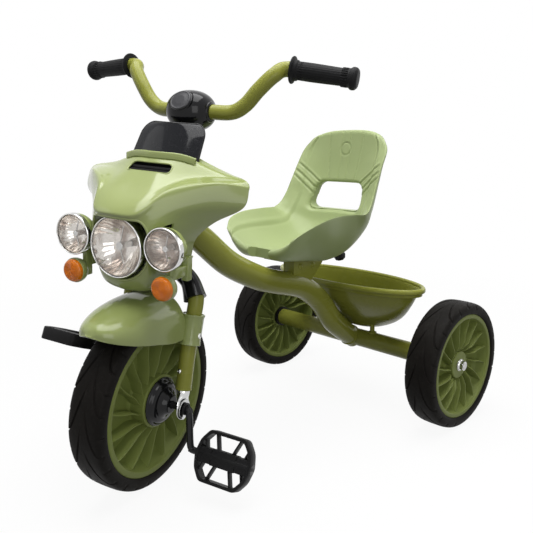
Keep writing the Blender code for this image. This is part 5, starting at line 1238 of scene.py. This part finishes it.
def makeSeatMount():
    datum, level, thick, half = seat["datum"], seatMount["level"], seatMount["thick"], seatMount["half"]
    rail = underSeat(((-0.220, 0.0003), (-0.135, 0.0003), (-0.135, -0.0037), (-0.220, -0.0037)), -0.022, 0.022)
    plane = seatPlane(datum)
    knobAt = rear(0, datum + 0.105, plane - 0.0110)
    stud = curve([rear(0, -0.139, seatPlane(-0.139) - 0.0021), rear(0, -0.110, plane - 0.007),
                  rear(0, -0.090, plane - 0.0108), knobAt - (0, 0.004, 0), knobAt + (0, 0.004, 0)], 30)
    piece("seatRail", "black_steel", "seat_carriage", [rail, tube(stud, 0.0016, 12)], "seat_rail", bevel=0.0006)
    knob = [(0.0, 0.0019), (0.0, 0.0088), (0.0022, 0.0100), (0.0120, 0.0100), (0.0148, 0.0078),
            (0.0148, 0.0019)]
    points, faces = lathe(knob, 0.0012, 72)
    angle, reach = np.arctan2(points[:, 2], points[:, 1]), np.hypot(points[:, 1], points[:, 2])
    pinch = np.where(reach > 0.0080, 1 - 0.07 * np.maximum(0, np.cos(angle * 8)), 1.0)
    points = points * np.stack([np.ones(len(points)), pinch, pinch], 1)
    piece("seatKnob", "black_plastic", "seat_clamp_knob",
          [moved((points, faces), standing(knobAt - (0, 0.008, 0), (0, 1, 0)))], "seat_knob")

    nose, tail, inside = datum + seatMount["nose"], datum + seatMount["tail"], half - 0.0005
    cheek = [(nose, seatPlane(nose) - level), (tail, seatPlane(tail) - level),
             (tail, seatPlane(tail) - level - 0.003), (datum + 0.004, plane - 0.050),
             (nose + 0.004, seatPlane(nose) - 0.040), (nose, seatPlane(nose) - 0.036)]
    cheek = soften([rear(0, dy, dz)[1:] for dy, dz in cheek], 0.004, True)
    plate = [rear(0, nose + dy, seatPlane(nose) - level + up)[1:] for dy, up in (
        (0.0005, -0.0015), (thick, -0.0015), (thick, -0.031), (0.0005, -0.031))]
    strip = ((nose + 0.001, -level), (tail - 0.001, -level), (tail - 0.001, -level - thick),
             (nose + 0.001, -level - thick))
    parts = [prism(cheek, 0, half - thick, half), prism(cheek, 0, -half, thick - half),
             prism(plate, 0, -inside, inside), underSeat(strip, -inside, -seatMount["slot"]),
             underSeat(strip, seatMount["slot"], inside)]
    head = [(0.0, 0.0), (0.0, 0.0052), (0.0008, 0.0052), (0.0022, 0.0030), (0.0024, 0.0)]
    for sideways in (1, -1):  # carriage bolts through both cheeks; the knob's stud slides between the strips
        for dy, dz in seatMount["bolts"]:
            at = rear(sideways * (half - 0.0002), dy, seatPlane(dy) + dz)
            parts.append(lathe(head, 0.0006, 32, standing(at, (sideways, 0, 0))))
    piece("seatBracket", "olive_enamel", "frame", parts, "seat_bracket", bevel=0.0005)


makeSeat()
makeSeatMount()
print("seat made")


# basket; its shape runs from the floor's middle outwards: share of width, share of height, shift back
basket = dict(halfWidth=0.1680, halfLength=0.0640, y=-0.0240, high=0.1270, deep=0.1060, wall=0.0028, lip=0.0050,
              roll=0.0090, shape=[(0, 0, 0.034), (0.25, 0.03, 0.038), (0.48, 0.16, 0.036), (0.68, 0.36, 0.023),
                                  (0.84, 0.62, 0.008), (0.94, 0.86, 0.002), (1.0, 1.0, 0.0)])


def basketRing(scale, high, grow, back):
    angles, wide, long = around(144), basket["halfWidth"], basket["halfLength"]
    lip = basket["lip"]
    flat = np.stack([(wide - lip) * scale * np.cos(angles), (long - lip) * scale * np.sin(angles)], 1)
    out = np.stack([np.cos(angles) / wide, np.sin(angles) / long], 1)
    out /= np.linalg.norm(out, axis=1, keepdims=True)
    flat += out * grow * min(1.0, scale * 2.5)
    return np.insert(flat, 2, high, 1) + rear(0, basket["y"] + back, 0)


def makeBasket():
    floor, deep, high = basket["high"] - basket["deep"], basket["deep"], basket["high"]
    wall, lip, brim = basket["wall"], basket["lip"], basket["high"] - basket["roll"]
    shape = curve(basket["shape"], 40)
    rings = [basketRing(max(t, 0.004), floor + deep * h, 0.0, back) for t, h, back in shape[:-4]]
    edge = [(0.0, brim - 0.006), (0.0, brim + 0.0015), (lip - 0.0022, brim + 0.0005), (lip - 0.0008, brim),
            (lip, brim + 0.0012), (lip, high - 0.0035), (lip - 0.0016, high - 0.0008), (0.0008, high),
            (-wall, high - 0.0016), (-wall, high - 0.006)]
    rings += [basketRing(1.0, level, grow, 0.0) for grow, level in soften(edge, 0.0016, steps=3)]
    rings += [basketRing(max(t, 0.004), floor + wall + (deep - wall) * h, -wall, back)
              for t, h, back in shape[-4::-1]]
    ribs = [tube([onFloor(x, y) for y in np.linspace(-0.024, 0.020, 13)], 0.0011, 10, 0.0008)
            for x in (-0.040, 0.0, 0.040)]  # low strengthening ribs
    piece("basket", "olive_enamel", "frame", [skin(rings), *ribs], "basket", sharp=50)


def onFloor(x, y):  # a place on the bowl's inner floor
    wide, long = basket["halfWidth"] - basket["lip"], basket["halfLength"] - basket["lip"]
    shift = basket["shape"][0][2]
    rise = next((h for t, h, back in curve(basket["shape"], 80)
                 if t and (x / (wide * t)) ** 2 + ((y - back + shift) / (long * t)) ** 2 <= 1), 0.0)
    base = basket["high"] - basket["deep"] + basket["wall"]
    return rear(x, basket["y"] + y + shift, base + (basket["deep"] - basket["wall"]) * rise)


makeBasket()
print("basket made")

# the steerer is the one CAD node that still shows
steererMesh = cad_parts["steerer"].data
steererMesh.materials.clear()
steererMesh.materials.append(finishes["zinc_steel"].material)


# floor, light and camera
studio = dict(floor=(0.86, 0.86, 0.86), floorBounce=0.16, floorGlow=0.925, floorSize=40.0, worldLight=0.17)
softboxes = dict(  # place, where it points, size, power
    topSoftbox=((0.10, -0.10, 1.9), (0, 0, 0.3), (1.6, 1.6), 42.0),
    keySoftbox=((-1.3, -1.7, 1.6), (0, 0, 0.30), (1.1, 1.3), 3.8),
    fillSoftbox=((2.1, -1.0, 0.8), (0, 0, 0.25), (1.2, 1.4), 12.5),
    rimSoftbox=((0.4, 2.2, 1.3), (0, 0, 0.30), (1.6, 0.9), 8.0))
view = dict(azimuth=math.radians(46.6148), elevation=math.radians(11.6717), roll=math.radians(-0.7439),
            distance=1.02298, target=(0.0, 0.0169, 0.2841), lens=41.51, sensor=36.0)


def makeFloor():
    mesh = bpy.data.meshes.new("studioFloor")
    bm = bmesh.new()
    bmesh.ops.create_grid(bm, x_segments=2, y_segments=2, size=studio["floorSize"])
    bm.to_mesh(mesh)
    bm.free()
    floor = bpy.data.objects.new("studioFloor", mesh)
    bpy.context.scene.collection.objects.link(floor)
    floor.location.z = -0.0004
    paint = Paint("studio_floor", roughness=0.8, ior=1.2)
    seen = paint.whiteRays()  # these rays meet a white background
    paint.set("baseColor", paint.blend(seen, (studio["floorBounce"],) * 3, studio["floor"]))
    where = paint.node("VectorMath", {"operation": "LENGTH"}, {0: paint.place}, "Value")
    glow = paint.node("Emission", None, {"Color": (1.0, 1.0, 1.0), "Strength": 1.0})
    share = seen * where.ramp(0.45, 1.6, studio["floorGlow"], 1.0)
    mixed = paint.node("MixShader", None, {0: share, 1: Value(paint, paint.shader.outputs[0]), 2: glow})
    paint.tree.links.new(mixed.socket, paint.tree.nodes["Material Output"].inputs["Surface"])
    mesh.materials.append(paint.material)


def makeWorld():
    world = bpy.data.worlds.new("studio")
    bpy.context.scene.world = world
    sky, light = Nodes(world), studio["worldLight"]
    background = sky.tree.nodes["Background"].inputs
    sky.feed(background["Color"], (1.0, 1.0, 1.0))
    sky.feed(background["Strength"], sky.whiteRays() * (1.0 - light) + light)


def makeLamp(name, place, aim, size, power):
    data = bpy.data.lights.new(name, "AREA")
    data.shape, data.size, data.size_y, data.energy = "RECTANGLE", *size, power
    lamp = bpy.data.objects.new(name, data)
    bpy.context.scene.collection.objects.link(lamp)
    lamp.location = place
    lamp.rotation_mode = "QUATERNION"
    lamp.rotation_quaternion = (Vector(aim) - Vector(place)).to_track_quat("-Z", "Y")
    lamp.visible_camera = False


def makeCamera():
    azimuth, elevation, roll = view["azimuth"], view["elevation"], view["roll"]
    back = Vector((math.sin(azimuth) * math.cos(elevation), -math.cos(azimuth) * math.cos(elevation),
                   math.sin(elevation)))
    right = Vector((math.cos(azimuth), math.sin(azimuth), 0.0))
    up = back.cross(right)
    right, up = right * math.cos(roll) + up * math.sin(roll), up * math.cos(roll) - right * math.sin(roll)
    data = bpy.data.cameras.new("camera")
    data.lens, data.sensor_width = view["lens"], view["sensor"]
    camera = bpy.data.objects.new("camera", data)
    bpy.context.scene.collection.objects.link(camera)
    turned = Matrix((right, up, back)).transposed().to_4x4()
    camera.matrix_world = Matrix.Translation(Vector(view["target"]) + back * view["distance"]) @ turned
    bpy.context.scene.camera = camera


makeFloor()
makeWorld()
for name, settings in softboxes.items():
    makeLamp(name, *settings)
makeCamera()
bpy.context.scene.view_settings.view_transform = "Standard"
print("studio made")
